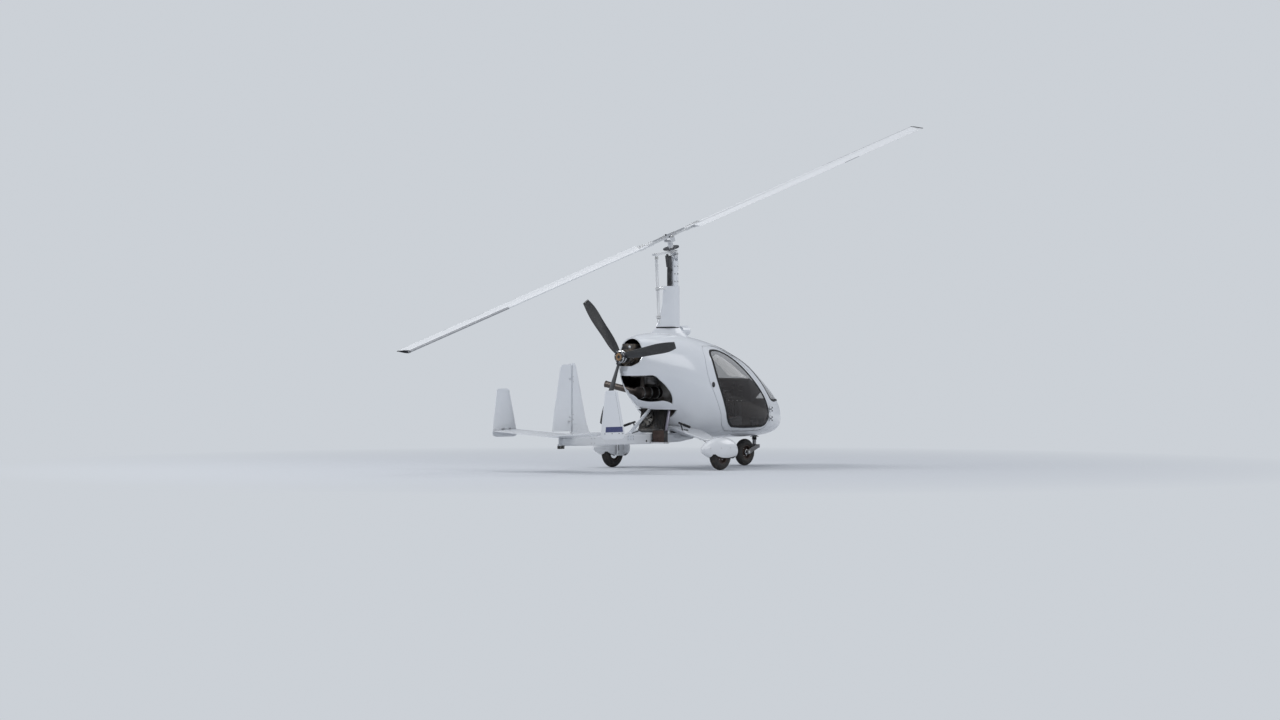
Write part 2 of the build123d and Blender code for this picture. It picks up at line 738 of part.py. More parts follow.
with BuildPart() as instrument_panel:
    with BuildSketch(Plane.XZ.offset(330)):
        with BuildLine():
            Polyline(
                (1120, 760), (1160, 760), (1340, 900), (1330, 930), (1100, 1050),
                (1075, 1036), close=True,
            )
        make_face()
    extrude(amount=-660)
    add(block((1130, -90, FLOOR_Z + 12 + FIT_GAP), (1250, 90, 800)))
    add(pod_room, mode=Mode.INTERSECT)
instrument_panel.part.label = "instrument_panel"
export_step(instrument_panel.part, "parts/instrument_panel.step")

with BuildPart() as controls:
    for side in (-1, 1):
        y = side * 262
        add(tube_between((880, y, FLOOR_Z + 12), (880, y, FLOOR_Z + 24), 30))
        add(tube_between((880, y, FLOOR_Z + 20), (860, y, 640), 14))
        add(tube_between((860, y, 635), (835, y, 790), 20))
        for offset_y in (-110 * side, 20 * side):
            add(block((1390, y + offset_y - 45, 470), (1402, y + offset_y + 45, 580)))
            add(tube_between((1396, y + offset_y, FLOOR_Z + 12),
                             (1396, y + offset_y, 480), 9))
    add(pod_room, mode=Mode.INTERSECT)
controls.part.label = "controls"
export_step(controls.part, "parts/controls.step")

# Wheel spats. Columns as in the pod's table.
SPAT_STATIONS = (
    (-398, 218, 262, 240, 12, 0.58, 0.58),
    (-330, 185, 305, 245, 52, 0.58, 0.58),
    (-190, 132, 366, 240, 90, 0.60, 0.62),
    (-40, 112, 384, 236, 100, 0.62, 0.64),
    (95, 118, 366, 232, 94, 0.62, 0.64),
    (190, 142, 312, 226, 70, 0.60, 0.62),
    (225, 180, 262, 222, 36, 0.58, 0.58),
)
SPAT_SIZES = (311, 100, 136)


def make_spat(side):
    """One hollow spat, open below, with holes for the leg's bracket and the axle."""
    centre = (-86, 248)
    y = side * HALF_TRACK
    with BuildPart() as spat:
        add(body_volume(SPAT_STATIONS, centre, SPAT_SIZES, 0, y))
        add(body_volume(SPAT_STATIONS, centre, SPAT_SIZES, 5, y), mode=Mode.SUBTRACT)
        add(block((-258, y - 74, 60), (152, y + 74, 190)), mode=Mode.SUBTRACT)
        add(block((-500, y - 120, 60), (300, y + 120, 132)), mode=Mode.SUBTRACT)
        low, high = sorted((side * 640, side * 760))
        add(bar_y(AXLE_X, MAIN_RADIUS, AXLE_RADIUS + 1, low, high), mode=Mode.SUBTRACT)
        add(block((AXLE_X - 55.5, sorted((side * 600, side * 716.4))[0], 100),
                  (AXLE_X + 55.5, sorted((side * 600, side * 716.4))[1], 360)),
            mode=Mode.SUBTRACT)
        add(bow_space, mode=Mode.SUBTRACT)
    return spat.part


with BuildPart() as spat_left:
    add(make_spat(1))
spat_left.part.label = "spat_left"
export_step(spat_left.part, "parts/spat_left.step")

with BuildPart() as spat_right:
    add(make_spat(-1))
spat_right.part.label = "spat_right"
export_step(spat_right.part, "parts/spat_right.step")


def make_tyre(x, y, z, radius, width, rim):
    """A tyre turned from a rounded section."""
    crown = radius - 0.16 * width
    shoulder = 0.5 * width
    with BuildPart() as tyre:
        with BuildSketch(Plane.YZ):
            with BuildLine():
                ThreePointArc((-0.36 * width, crown), (0, radius), (0.36 * width, crown))
                ThreePointArc((0.36 * width, crown), (shoulder, (crown + rim) / 2),
                              (0.36 * width, rim))
                Line((0.36 * width, rim), (-0.36 * width, rim))
                ThreePointArc((-0.36 * width, rim), (-shoulder, (crown + rim) / 2),
                              (-0.36 * width, crown))
            make_face()
        revolve(axis=Axis.Y)
    return tyre.part.moved(Location((x, y, z)))


def make_rim(x, y, z, width, rim, bore):
    """A rim with a web, a hub and an axle bore."""
    half = 0.36 * width
    with BuildPart() as wheel:
        with BuildSketch(Plane.YZ):
            with BuildLine():
                Polyline(
                    (-half, rim - FIT_GAP), (half, rim - FIT_GAP), (half, rim - 10),
                    (8, rim - 16), (8, 34), (30, 30), (30, bore), (-30, bore), (-30, 30),
                    (-8, 34), (-8, rim - 16), (-half, rim - 10), close=True,
                )
            make_face()
        revolve(axis=Axis.Y)
    return wheel.part.moved(Location((x, y, z)))


with BuildPart() as tyre_left:
    add(make_tyre(AXLE_X, HALF_TRACK, MAIN_RADIUS, MAIN_RADIUS, MAIN_WIDTH, RIM_RADIUS))
tyre_left.part.label = "tyre_left"
export_step(tyre_left.part, "parts/tyre_left.step")

with BuildPart() as tyre_right:
    add(make_tyre(AXLE_X, -HALF_TRACK, MAIN_RADIUS, MAIN_RADIUS, MAIN_WIDTH, RIM_RADIUS))
tyre_right.part.label = "tyre_right"
export_step(tyre_right.part, "parts/tyre_right.step")

with BuildPart() as rim_left:
    add(make_rim(AXLE_X, HALF_TRACK, MAIN_RADIUS, MAIN_WIDTH, RIM_RADIUS,
                 AXLE_RADIUS + 0.5))
rim_left.part.label = "rim_left"
export_step(rim_left.part, "parts/rim_left.step")

with BuildPart() as rim_right:
    add(make_rim(AXLE_X, -HALF_TRACK, MAIN_RADIUS, MAIN_WIDTH, RIM_RADIUS,
                 AXLE_RADIUS + 0.5))
rim_right.part.label = "rim_right"
export_step(rim_right.part, "parts/rim_right.step")

# Nose gear: a housing under the pod, a turning fork and its wheel
with BuildPart() as nose_leg:
    add(tube_between((STEER_X, 0, 340), (STEER_X, 0, 470), HOUSING_RADIUS))
    add(tube_between((STEER_X, 0, 330), (STEER_X, 0, 480), STEER_RADIUS + FIT_GAP),
        mode=Mode.SUBTRACT)
nose_leg.part.label = "nose_leg"
export_step(nose_leg.part, "parts/nose_leg.step")

with BuildPart() as nose_fork:
    add(tube_between((STEER_X, 0, 215), (STEER_X, 0, 465), STEER_RADIUS))
    add(block((STEER_X - 26, -66, 212), (STEER_X + 24, 66, 250)))
    for side in (-1, 1):
        low, high = sorted((side * 54, side * 66))
        with BuildSketch(Plane.XZ.offset(-low)):
            with BuildLine():
                Polyline(
                    (STEER_X + 24, 212), (STEER_X + 24, 250), (STEER_X - 30, 250),
                    (NOSE_X - 18, 186), (NOSE_X - 24, 160), (NOSE_X - 18, 138),
                    (NOSE_X + 14, 138), (STEER_X - 20, 200), close=True,
                )
            make_face()
        extrude(amount=-(high - low))
    add(bar_y(NOSE_X, NOSE_RADIUS, 10, -70, 70))
    add(bar_y(NOSE_X, NOSE_RADIUS, 4.5, -90, 90), mode=Mode.SUBTRACT)
nose_fork.part.label = "nose_fork"
export_step(nose_fork.part, "parts/nose_fork.step")

with BuildPart() as nose_tyre:
    add(make_tyre(NOSE_X, 0, NOSE_RADIUS, NOSE_RADIUS, NOSE_WIDTH, 82))
nose_tyre.part.label = "nose_tyre"
export_step(nose_tyre.part, "parts/nose_tyre.step")

with BuildPart() as nose_rim:
    add(make_rim(NOSE_X, 0, NOSE_RADIUS, NOSE_WIDTH, 82, 10.5))
nose_rim.part.label = "nose_rim"
export_step(nose_rim.part, "parts/nose_rim.step")

# Tail boom with its bumper, let in under the pod
with BuildPart() as tail_boom:
    for x, low, high, half in ((-1940, 310, 400, 40), (-1500, 304, 414, 48),
                               (-400, BOOM_LOW, BOOM_HIGH, 52), (150, 312, BOOM_HIGH, 52),
                               (420, 342, 380, 30)):
        with BuildSketch(Plane.YZ.offset(x)):
            with Locations((0, (low + high) / 2)):
                RectangleRounded(2 * half, high - low, 14)
    loft(ruled=True)
    add(block((-1990, -12, 276), (-1900, 12, 330)))
    add(bar_y(-1965, 300, 8, -30, 30), mode=Mode.SUBTRACT)
    add(pod_outer, mode=Mode.SUBTRACT)
    add(bow_space, mode=Mode.SUBTRACT)
tail_boom.part.label = "tail_boom"
export_step(tail_boom.part, "parts/tail_boom.step")


def stab_section(y, z, rear, front, thick):
    """One section of the stabiliser at distance y from the middle."""
    with BuildSketch(Plane.XZ.offset(-y)) as section:
        with BuildLine():
            Bezier((front, z), (front, z + thick), (front - 120, z + thick), (rear, z + 4))
            Line((rear, z + 4), (rear, z - 4))
            Bezier((rear, z - 4), (front - 120, z - thick), (front, z - thick), (front, z))
        make_face()
    return section.sketch


with BuildPart() as stabilizer:
    for side in (-1, 1):
        with BuildPart(mode=Mode.ADD):
            add(stab_section(0, 424, -2195, -1775, 34))
            add(stab_section(side * STAB_HALF, 470, -2195, -1785, 30))
            loft(ruled=True)
    add(tail_boom.part, mode=Mode.SUBTRACT)
stabilizer.part.label = "stabilizer"
export_step(stabilizer.part, "parts/stabilizer.step")


def fin_section(z, y, rear, front, half):
    """One section of an upright fin at height z."""
    with BuildSketch(Plane.XY.offset(z)) as section:
        with BuildLine():
            Bezier((front, y), (front, y + half * 1.3), (front - 0.35 * (front - rear), y + half * 1.3),
                   (rear, y + 3))
            Line((rear, y + 3), (rear, y - 3))
            Bezier((rear, y - 3), (front - 0.35 * (front - rear), y - half * 1.3),
                   (front, y - half * 1.3), (front, y))
        make_face()
    return section.sketch


# Columns: height, rear edge, front edge
SIDE_FIN_STATIONS = (
    (404, -2140, -1815),
    (418, -2190, -1782),
    (450, -2205, -1775),
    (700, -2163, -1843),
    (948, -2124, -1912),
    (962, -2105, -1935),
)


def make_side_fin(side):
    """One end plate fin."""
    y = side * (STAB_HALF + 12)
    with BuildPart() as fin:
        for z, rear, front in SIDE_FIN_STATIONS:
            add(fin_section(z, y, rear, front, 17))
        loft(ruled=True)
        add(stabilizer.part, mode=Mode.SUBTRACT)
    return fin.part


with BuildPart() as fin_left:
    add(make_side_fin(1))
fin_left.part.label = "fin_left"
export_step(fin_left.part, "parts/fin_left.step")

with BuildPart() as fin_right:
    add(make_side_fin(-1))
fin_right.part.label = "fin_right"
export_step(fin_right.part, "parts/fin_right.step")

# Centre fin with two hinge brackets, and the rudder behind it
RUDDER_LOW = 478
RUDDER_HIGH = 1250
HINGE_LEVELS = (640, 1080)
FIN_REAR = FIN_HINGE_X + 32
FIN_STATIONS = (
    (402, -1372),
    (428, -1408),
    (470, -1452),
    (560, -1497),
    (720, -1545),
    (1225, -1686),
    (1262, -1712),
)
with BuildPart() as fin_center:
    for z, front in FIN_STATIONS:
        with BuildSketch(Plane.XY.offset(z)):
            with BuildLine():
                Bezier((front, 0), (front, 30), (front - 50, 26), (FIN_REAR, 21))
                Line((FIN_REAR, 21), (FIN_REAR, -21))
                Bezier((FIN_REAR, -21), (front - 50, -26), (front, -30), (front, 0))
            make_face()
    loft(ruled=True)
    for z in HINGE_LEVELS:
        add(block((FIN_HINGE_X - 8, -8, z - 5), (FIN_REAR + 5, 8, z + 5)))
        add(tube_between((FIN_HINGE_X, 0, z - 24), (FIN_HINGE_X, 0, z + 24), 5))
    add(tail_boom.part, mode=Mode.SUBTRACT)
    add(stabilizer.part, mode=Mode.SUBTRACT)
fin_center.part.label = "fin_center"
export_step(fin_center.part, "parts/fin_center.step")

with BuildPart() as rudder:
    for z, rear in ((RUDDER_LOW, -2094), (720, -2062), (1215, -1950), (RUDDER_HIGH, -1920)):
        with BuildSketch(Plane.XY.offset(z)):
            with BuildLine():
                ThreePointArc((FIN_HINGE_X, 22), (FIN_HINGE_X + 22, 0), (FIN_HINGE_X, -22))
                Line((FIN_HINGE_X, -22), (rear, -3))
                Line((rear, -3), (rear, 3))
                Line((rear, 3), (FIN_HINGE_X, 22))
            make_face()
    loft(ruled=True)
    for z in HINGE_LEVELS:
        add(block((FIN_HINGE_X - 24, -30, z - 11), (FIN_HINGE_X + 30, 30, z + 11)),
            mode=Mode.SUBTRACT)
        add(tube_between((FIN_HINGE_X, 0, z - 32), (FIN_HINGE_X, 0, z + 32),
                         5 + FIT_GAP), mode=Mode.SUBTRACT)
rudder.part.label = "rudder"
export_step(rudder.part, "parts/rudder.step")

# Strut from the boom up to a cross tube in the pod's keel
with BuildPart() as boom_brace:
    add(bar_y(-338, 728, 14, -420, 420))
    add(pod_inner, mode=Mode.INTERSECT)
    add(tube_between((-338, 0, 708), (-742, 0, 404), 20))
    add(tail_boom.part, mode=Mode.SUBTRACT)
    add(pod_shell.part, mode=Mode.SUBTRACT)
boom_brace.part.label = "boom_brace"
export_step(boom_brace.part, "parts/boom_brace.step")

with BuildPart() as footsteps:
    for side in (-1, 1):
        low, high = sorted((side * 330, side * 500))
        add(tube_between((-215, side * 335, 548), (-215, side * 500, 500), 12))
        add(tube_between((-215, side * 360, 540), (-170, side * 360, 445), 8))
    add(bow_arms, mode=Mode.SUBTRACT)
    add(pod_outer, mode=Mode.SUBTRACT)
footsteps.part.label = "footsteps"
export_step(footsteps.part, "parts/footsteps.step")

# Propeller: a hub and three twisted blades
with BuildPart() as propeller_hub:
    add(tube_between((PROP_X - 30, 0, PROP_Z), (-818, 0, PROP_Z), 68))
    add(tube_between((-852, 0, PROP_Z), (-810, 0, PROP_Z), SHAFT_RADIUS + FIT_GAP),
        mode=Mode.SUBTRACT)
propeller_hub.part.label = "propeller_hub"
export_step(propeller_hub.part, "parts/propeller_hub.step")

with BuildPart() as blade_one:
    for radius, chord, thick, pitch in ((60, 60, 40, 40), (200, 105, 24, 34),
                                        (480, 120, 14, 20), (PROP_RADIUS - 15, 80, 8, 12)):
        with BuildSketch(Plane(origin=(PROP_X, 0, PROP_Z + radius), x_dir=(0, 1, 0),
                               z_dir=(0, 0, 1))):
            with Locations(Location((0, 0, 0), (0, 0, pitch))):
                Ellipse(chord / 2, thick / 2)
    loft()
with BuildPart() as propeller_blades:
    for turn in PROP_TURNS:
        spin = Location((0, 0, PROP_Z), (turn, 0, 0)) * Location((0, 0, -PROP_Z))
        add(blade_one.part.moved(spin))
    add(propeller_hub.part, mode=Mode.SUBTRACT)
propeller_blades.part.label = "propeller_blades"
export_step(propeller_blades.part, "parts/propeller_blades.step")
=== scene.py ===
import json
import math

import bmesh
import bpy
import numpy as np
from mathutils import Matrix, Vector
from mathutils.bvhtree import BVHTree
from mathutils.kdtree import KDTree

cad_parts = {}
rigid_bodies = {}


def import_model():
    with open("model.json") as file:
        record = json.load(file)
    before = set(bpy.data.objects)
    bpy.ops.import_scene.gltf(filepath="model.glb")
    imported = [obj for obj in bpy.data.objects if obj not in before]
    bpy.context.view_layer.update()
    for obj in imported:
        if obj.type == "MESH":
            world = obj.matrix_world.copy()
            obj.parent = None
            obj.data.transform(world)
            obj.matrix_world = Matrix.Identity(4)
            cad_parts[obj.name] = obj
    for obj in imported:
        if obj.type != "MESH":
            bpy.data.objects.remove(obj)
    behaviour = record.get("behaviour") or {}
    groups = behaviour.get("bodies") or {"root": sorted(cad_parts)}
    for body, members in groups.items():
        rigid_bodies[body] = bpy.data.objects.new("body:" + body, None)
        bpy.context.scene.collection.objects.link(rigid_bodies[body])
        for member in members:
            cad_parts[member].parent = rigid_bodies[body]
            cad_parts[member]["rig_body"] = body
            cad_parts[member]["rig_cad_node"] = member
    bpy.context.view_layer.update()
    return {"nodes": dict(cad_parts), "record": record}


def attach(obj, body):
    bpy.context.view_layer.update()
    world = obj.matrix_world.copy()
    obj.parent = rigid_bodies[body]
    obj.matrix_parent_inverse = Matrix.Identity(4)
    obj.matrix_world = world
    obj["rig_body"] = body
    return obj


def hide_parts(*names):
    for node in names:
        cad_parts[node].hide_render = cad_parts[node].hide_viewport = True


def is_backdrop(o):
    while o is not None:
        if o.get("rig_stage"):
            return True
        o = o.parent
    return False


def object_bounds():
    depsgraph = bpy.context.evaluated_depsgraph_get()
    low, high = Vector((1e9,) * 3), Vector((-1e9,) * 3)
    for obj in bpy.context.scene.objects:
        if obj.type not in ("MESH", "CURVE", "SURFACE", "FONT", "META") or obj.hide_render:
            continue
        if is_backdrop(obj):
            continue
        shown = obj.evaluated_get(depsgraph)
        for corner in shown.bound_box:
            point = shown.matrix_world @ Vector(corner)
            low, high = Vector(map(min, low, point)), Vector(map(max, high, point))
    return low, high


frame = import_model()

# Camera and studio. The camera stands behind the right rear of the aircraft, far off and
# close to the ground, as in the photograph. The floor is plain and pale, and four large
# soft lamps light the object evenly.
VIEW_TURN = math.radians(50)
VIEW_RISE = math.radians(1.0)
CAMERA_DISTANCE = 80.0
PICTURE_WIDTH = 15.06
SENSOR = 36
TARGET = Vector((-0.19, 0.28, 1.276))


def add_object(name, data, place=(0, 0, 0), turn=None):
    """Puts data in the scene as an object, turned by a quaternion if one is given."""
    obj = bpy.data.objects.new(name, data)
    obj.location = place
    if turn is not None:
        obj.rotation_mode = "QUATERNION"
        obj.rotation_quaternion = turn
    bpy.context.scene.collection.objects.link(obj)
    return obj


look = Vector((math.sin(VIEW_TURN) * math.cos(VIEW_RISE),
    math.cos(VIEW_TURN) * math.cos(VIEW_RISE), -math.sin(VIEW_RISE)))
camera_data = bpy.data.cameras.new("camera")
camera_data.sensor_width = SENSOR
camera_data.lens = SENSOR / 2 / (PICTURE_WIDTH / 2 / CAMERA_DISTANCE)
camera_data.clip_end = 400
camera = add_object("camera", camera_data, TARGET - look * CAMERA_DISTANCE,
    look.to_track_quat("-Z", "Y"))
bpy.context.scene.camera = camera
bpy.context.scene.view_settings.view_transform = "Standard"


class Socket:
    """Wraps a shader socket, so that sums and products of sockets read as plain maths."""

    def __init__(self, tree, link):
        self.tree = tree
        self.link = link

    def maths(self, operation, *others, clamp=False):
        node = self.tree.nodes.new("ShaderNodeMath")
        node.operation = operation
        node.use_clamp = clamp
        for index, value in enumerate((self,) + others):
            if isinstance(value, Socket):
                self.tree.links.new(value.link, node.inputs[index])
            else:
                node.inputs[index].default_value = value
        return Socket(self.tree, node.outputs[0])

    def __add__(self, other):
        return self.maths("ADD", other)

    __radd__ = __add__

    def __mul__(self, other):
        return self.maths("MULTIPLY", other)

    __rmul__ = __mul__

    def __sub__(self, other):
        return self.maths("SUBTRACT", other)

    def __rsub__(self, other):
        return (self * -1) + other

    def above(self, level, soft):
        """0 below the level and 1 above it, with a soft step of that width."""
        return ((self - level) * (1 / soft) + 0.5).maths("MULTIPLY", 1.0, clamp=True)

    def below(self, level, soft):
        return 1 - self.above(level, soft)


class Finish:
    """A material with one Principled shader, and the few nodes that feed it."""

    def __init__(self, name, colour, roughness, metallic=0.0, **plain):
        self.material = bpy.data.materials.new(name)
        self.material.use_nodes = True
        self.tree = self.material.node_tree
        self.shader = self.tree.nodes["Principled BSDF"]
        self.set("Base Color", colour)
        self.set("Roughness", roughness)
        self.set("Metallic", metallic)
        for key, value in plain.items():
            self.set(key.replace("_", " "), value)

    def node(self, kind, settings=None, **inputs):
        """Adds a node: first its settings, then the values or links of its sockets."""
        node = self.tree.nodes.new("ShaderNode" + kind)
        for key, value in (settings or {}).items():
            setattr(node, key, value)
        for key, value in inputs.items():
            if isinstance(value, Socket):
                self.tree.links.new(value.link, node.inputs[key])
            else:
                node.inputs[key].default_value = value
        return node

    def out(self, node, name=0):
        return Socket(self.tree, node.outputs[name])

    def set(self, name, value):
        if isinstance(value, Socket):
            self.tree.links.new(value.link, self.shader.inputs[name])
        else:
            if name == "Base Color":
                value = (*value[:3], 1)
            self.shader.inputs[name].default_value = value

    def place(self, scale=(1, 1, 1), turn=(0, 0, 0)):
        """Object coordinates, scaled and turned."""
        source = self.out(self.node("TexCoord"), "Object")
        return self.out(self.node("Mapping", Vector=source, Scale=scale, Rotation=turn))

    def axis(self, letter):
        """One of the object's own coordinates, in metres."""
        source = self.out(self.node("TexCoord"), "Object")
        return self.out(self.node("SeparateXYZ", Vector=source), letter)

    def noise(self, scale, detail=3, roughness=0.5, place=None):
        return self.out(self.node("TexNoise", Vector=place or self.place(), Scale=scale,
            Detail=detail, Roughness=roughness))

    def mix(self, factor, first, second):
        """A colour between two colours."""
        node = self.node("Mix", {"data_type": "RGBA"})
        for place, value in ((0, factor), (6, first), (7, second)):
            if isinstance(value, Socket):
                self.tree.links.new(value.link, node.inputs[place])
            elif place == 0:
                node.inputs[place].default_value = value
            else:
                node.inputs[place].default_value = (*value[:3], 1)
        return Socket(self.tree, node.outputs[2])

    def bump(self, height, strength, distance=0.001):
        node = self.node("Bump", Height=height, Strength=strength, Distance=distance)
        self.set("Normal", self.out(node))


def lamp(name, place, size, power, aim=(0, 0, 1.2)):
    data = bpy.data.lights.new(name, "AREA")
    data.shape = "RECTANGLE"
    data.size, data.size_y = size
    data.energy = power
    add_object(name, data, place, (Vector(aim) - Vector(place)).to_track_quat("-Z", "Y"))


lamp("key", (-11, 9, 12), (9, 6), 1450)
lamp("camera_side", (-3, -16, 9), (11, 8), 620)
lamp("front", (13, -6, 8), (8, 6), 330)
lamp("top", (0, 0, 16), (12, 12), 520)

PALE = (0.602, 0.636, 0.679)
world = bpy.data.worlds.new("studio")
world.use_nodes = True
bpy.context.scene.world = world
sky = world.node_tree.nodes["Background"]
sky.inputs["Color"].default_value = (0.84, 0.9, 1.0, 1)
sky.inputs["Strength"].default_value = 0.42
backdrop = world.node_tree.nodes.new("ShaderNodeBackground")
backdrop.inputs["Color"].default_value = (*PALE, 1)
seen = world.node_tree.nodes.new("ShaderNodeLightPath")
choice = world.node_tree.nodes.new("ShaderNodeMixShader")
world.node_tree.links.new(seen.outputs["Is Camera Ray"], choice.inputs[0])
world.node_tree.links.new(sky.outputs[0], choice.inputs[1])
world.node_tree.links.new(backdrop.outputs[0], choice.inputs[2])
world.node_tree.links.new(choice.outputs[0], world.node_tree.nodes["World Output"].inputs[0])

bpy.ops.mesh.primitive_plane_add(size=600, location=(0, 0, 0))
floor = bpy.context.object
floor.name = "floor"
floor_finish = Finish("floor_matt", (0.592, 0.6135, 0.648), 0.9)
across, along = floor_finish.axis("X"), floor_finish.axis("Y")
far_off = (across * across + along * along).above(42, 62)
rays = floor_finish.node("LightPath")
seen_ray = (floor_finish.out(rays, "Is Camera Ray") + floor_finish.out(rays, "Is Glossy Ray")
    + floor_finish.out(rays, "Is Transmission Ray")).above(0.5, 0.2)
glow = floor_finish.node("Emission", Color=(*PALE, 1))
blend = floor_finish.node("MixShader", Fac=far_off * seen_ray)
floor_finish.tree.links.new(floor_finish.shader.outputs[0], blend.inputs[1])
floor_finish.tree.links.new(glow.outputs[0], blend.inputs[2])
floor_finish.tree.links.new(blend.outputs[0], floor_finish.tree.nodes["Material Output"].inputs[0])
floor.data.materials.append(floor_finish.material)
floor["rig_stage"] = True

# Composite skins. Pod, doors, spats, fins and fairings are moulded in glass fibre and
# sprayed gloss white, with dust low down. Each is the CAD solid with its edges merged and
# smoothed, so that the paint reflects in one piece.
def white_finish(name, clean, shade, dust_top):
    finish = Finish(name, clean, 0.2, Coat_Weight=0.5, Coat_Roughness=0.05)
    cloudy = finish.noise(1.7, 4)
    speckle = finish.noise(60, 5, roughness=0.7)
    height = finish.axis("Z")
    dust = height.below(dust_top, 0.7) * cloudy.above(0.5, 1.1) * 0.3
    tone = finish.mix(cloudy.above(0.5, 1.0), clean, shade)
    finish.set("Base Color", finish.mix(dust + speckle.above(0.66, 0.08) * 0.05, tone,
        (0.47, 0.42, 0.35)))
    finish.set("Roughness", cloudy * 0.1 + 0.13 + dust * 0.7)
    finish.bump(finish.noise(700, 1), 0.04, 0.0003)
    return finish


pod_white = white_finish("pod_white", (0.8, 0.82, 0.85), (0.74, 0.765, 0.8), 0.62)
tail_white = white_finish("tail_white", (0.8, 0.82, 0.85), (0.74, 0.765, 0.8), 0.55)
spat_white = white_finish("spat_white", (0.8, 0.815, 0.84), (0.74, 0.76, 0.79), 0.3)


def pick(piece):
    """Makes a piece the active object and the only one that is selected."""
    bpy.ops.object.select_all(action="DESELECT")
    piece.select_set(True)
    bpy.context.view_layer.objects.active = piece


def apply_all(piece):
    """Applies the piece's place, turn, size and modifiers, so that its mesh holds them."""
    pick(piece)
    for modifier in list(piece.modifiers):
        bpy.ops.object.modifier_apply(modifier=modifier.name)
    bpy.ops.object.transform_apply(location=True, rotation=True, scale=True)


def soften(piece, width, segments=2, sharp=30):
    """Rounds the edges that are sharper than an angle in degrees."""
    edge = piece.modifiers.new("edge", "BEVEL")
    edge.width = width
    edge.segments = segments
    edge.angle_limit = math.radians(sharp)


def settle(piece, name, finish, body="airframe", angle=35):
    """Names a finished piece, smooths it, gives it its material and lets it ride."""
    apply_all(piece)
    piece.name = name
    piece.data.name = name
    if angle:
        bpy.ops.object.shade_smooth_by_angle(angle=math.radians(angle))
    piece.data.materials.clear()
    piece.data.materials.append(finish.material)
    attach(piece, body)
    return piece


def fitted_normals(piece, reach=0.045):
    """Gives a large curved piece the normals of its smooth form.

    At each corner a linear field is fitted to the directions of the faces round it, so that
    the small triangles along a cut edge don't show in the gloss.
    """
    mesh = piece.data
    faces, corners = len(mesh.polygons), len(mesh.loops)
    facing = np.empty(faces * 3)
    middle = np.empty(faces * 3)
    area = np.empty(faces)
    mesh.polygons.foreach_get("normal", facing)
    mesh.polygons.foreach_get("center", middle)
    mesh.polygons.foreach_get("area", area)
    facing, middle = facing.reshape(-1, 3), middle.reshape(-1, 3)
    centre = (middle.min(axis=0) + middle.max(axis=0)) / 2
    tree = KDTree(faces)
    for index, place in enumerate(middle):
        tree.insert(place, index)
    tree.balance()
    at_vertex = [[] for _ in mesh.vertices]
    for polygon in mesh.polygons:
        for corner in polygon.loop_indices:
            at_vertex[mesh.loops[corner].vertex_index].append((corner, polygon.index))
    result = np.zeros((corners, 3))
    for vertex, around in zip(mesh.vertices, at_vertex):
        place = np.array(vertex.co)
        near = None
        waiting = sorted(around, key=lambda pair: -area[pair[1]])
        while waiting:
            lead = facing[waiting[0][1]]
            group = [pair for pair in waiting if facing[pair[1]] @ lead > 0.75]
            waiting = [pair for pair in waiting if facing[pair[1]] @ lead <= 0.75]
            mine = [pair[1] for pair in group]
            normal = (facing[mine] * (area[mine, None] + 1e-12)).sum(axis=0)
            normal /= np.linalg.norm(normal)
            if normal @ (place - centre) > 0:
                if near is None:
                    near = np.array([found[1] for found in tree.find_range(vertex.co, reach)],
                        dtype=int)
                    if len(near) > 150:
                        near = near[np.argpartition(-area[near], 150)[:150]]
                usable = near[facing[near] @ normal > 0.8]
                if len(usable) > 5:
                    offset = middle[usable] - place
                    far = (offset ** 2).sum(axis=1) / (reach * reach)
                    weight = area[usable] * np.exp(-2 * far)
                    table = np.column_stack((np.ones(len(usable)), offset))
                    square = (table.T * weight) @ table
                    square += np.diag([0, 1, 1, 1]) * weight.sum() * 4e-6
                    normal = np.linalg.solve(square, (table.T * weight) @ facing[usable])[0]
                    normal /= np.linalg.norm(normal)
            for corner, _ in group:
                result[corner] = normal
    mesh.normals_split_custom_set(result.tolist())


def worn_finish(name, clean, shade, cloud, edge, rough, metallic=0.0, grain=None, **plain):
    """A finish that one noise turns from clean to shade and from less to more rough.

    cloud holds the noise's scale, detail and roughness; edge the level and the softness of
    the step, or nothing for a plain mix; rough the least roughness and what is added to it;
    and grain the strength and depth of a bump, with a noise of its own before them or not.
    """
    finish = Finish(name, clean, rough[0], metallic, **plain)
    pattern = finish.noise(*cloud)
    if shade:
        share = pattern.above(*edge) if edge else pattern
        finish.set("Base Color", finish.mix(share, clean, shade))
    finish.set("Roughness", pattern * rough[1] + rough[0])
    if grain:
        finish.bump(finish.noise(*grain[:-2]) if len(grain) > 2 else pattern, *grain[-2:])
    return finish


skins = {}


def lined(piece, centre, lining, apart=None):
    """Gives the faces that look inwards, towards a line along X, their own finish.

    apart holds an x and a second lining, for the faces behind it.
    """
    mesh = piece.data
    mesh.materials.append(lining.material)
    if apart:
        mesh.materials.append(apart[1].material)
    for polygon in mesh.polygons:
        place = polygon.center
        out = Vector((0, place.y - centre.y, place.z - centre.z))
        if abs(place.x - centre.x) > 0.75:
            out.x = (place.x - centre.x) * 0.8
        if polygon.normal.dot(out.normalized()) < -0.25:
            polygon.material_index = 2 if apart and place.x < apart[0] else 1


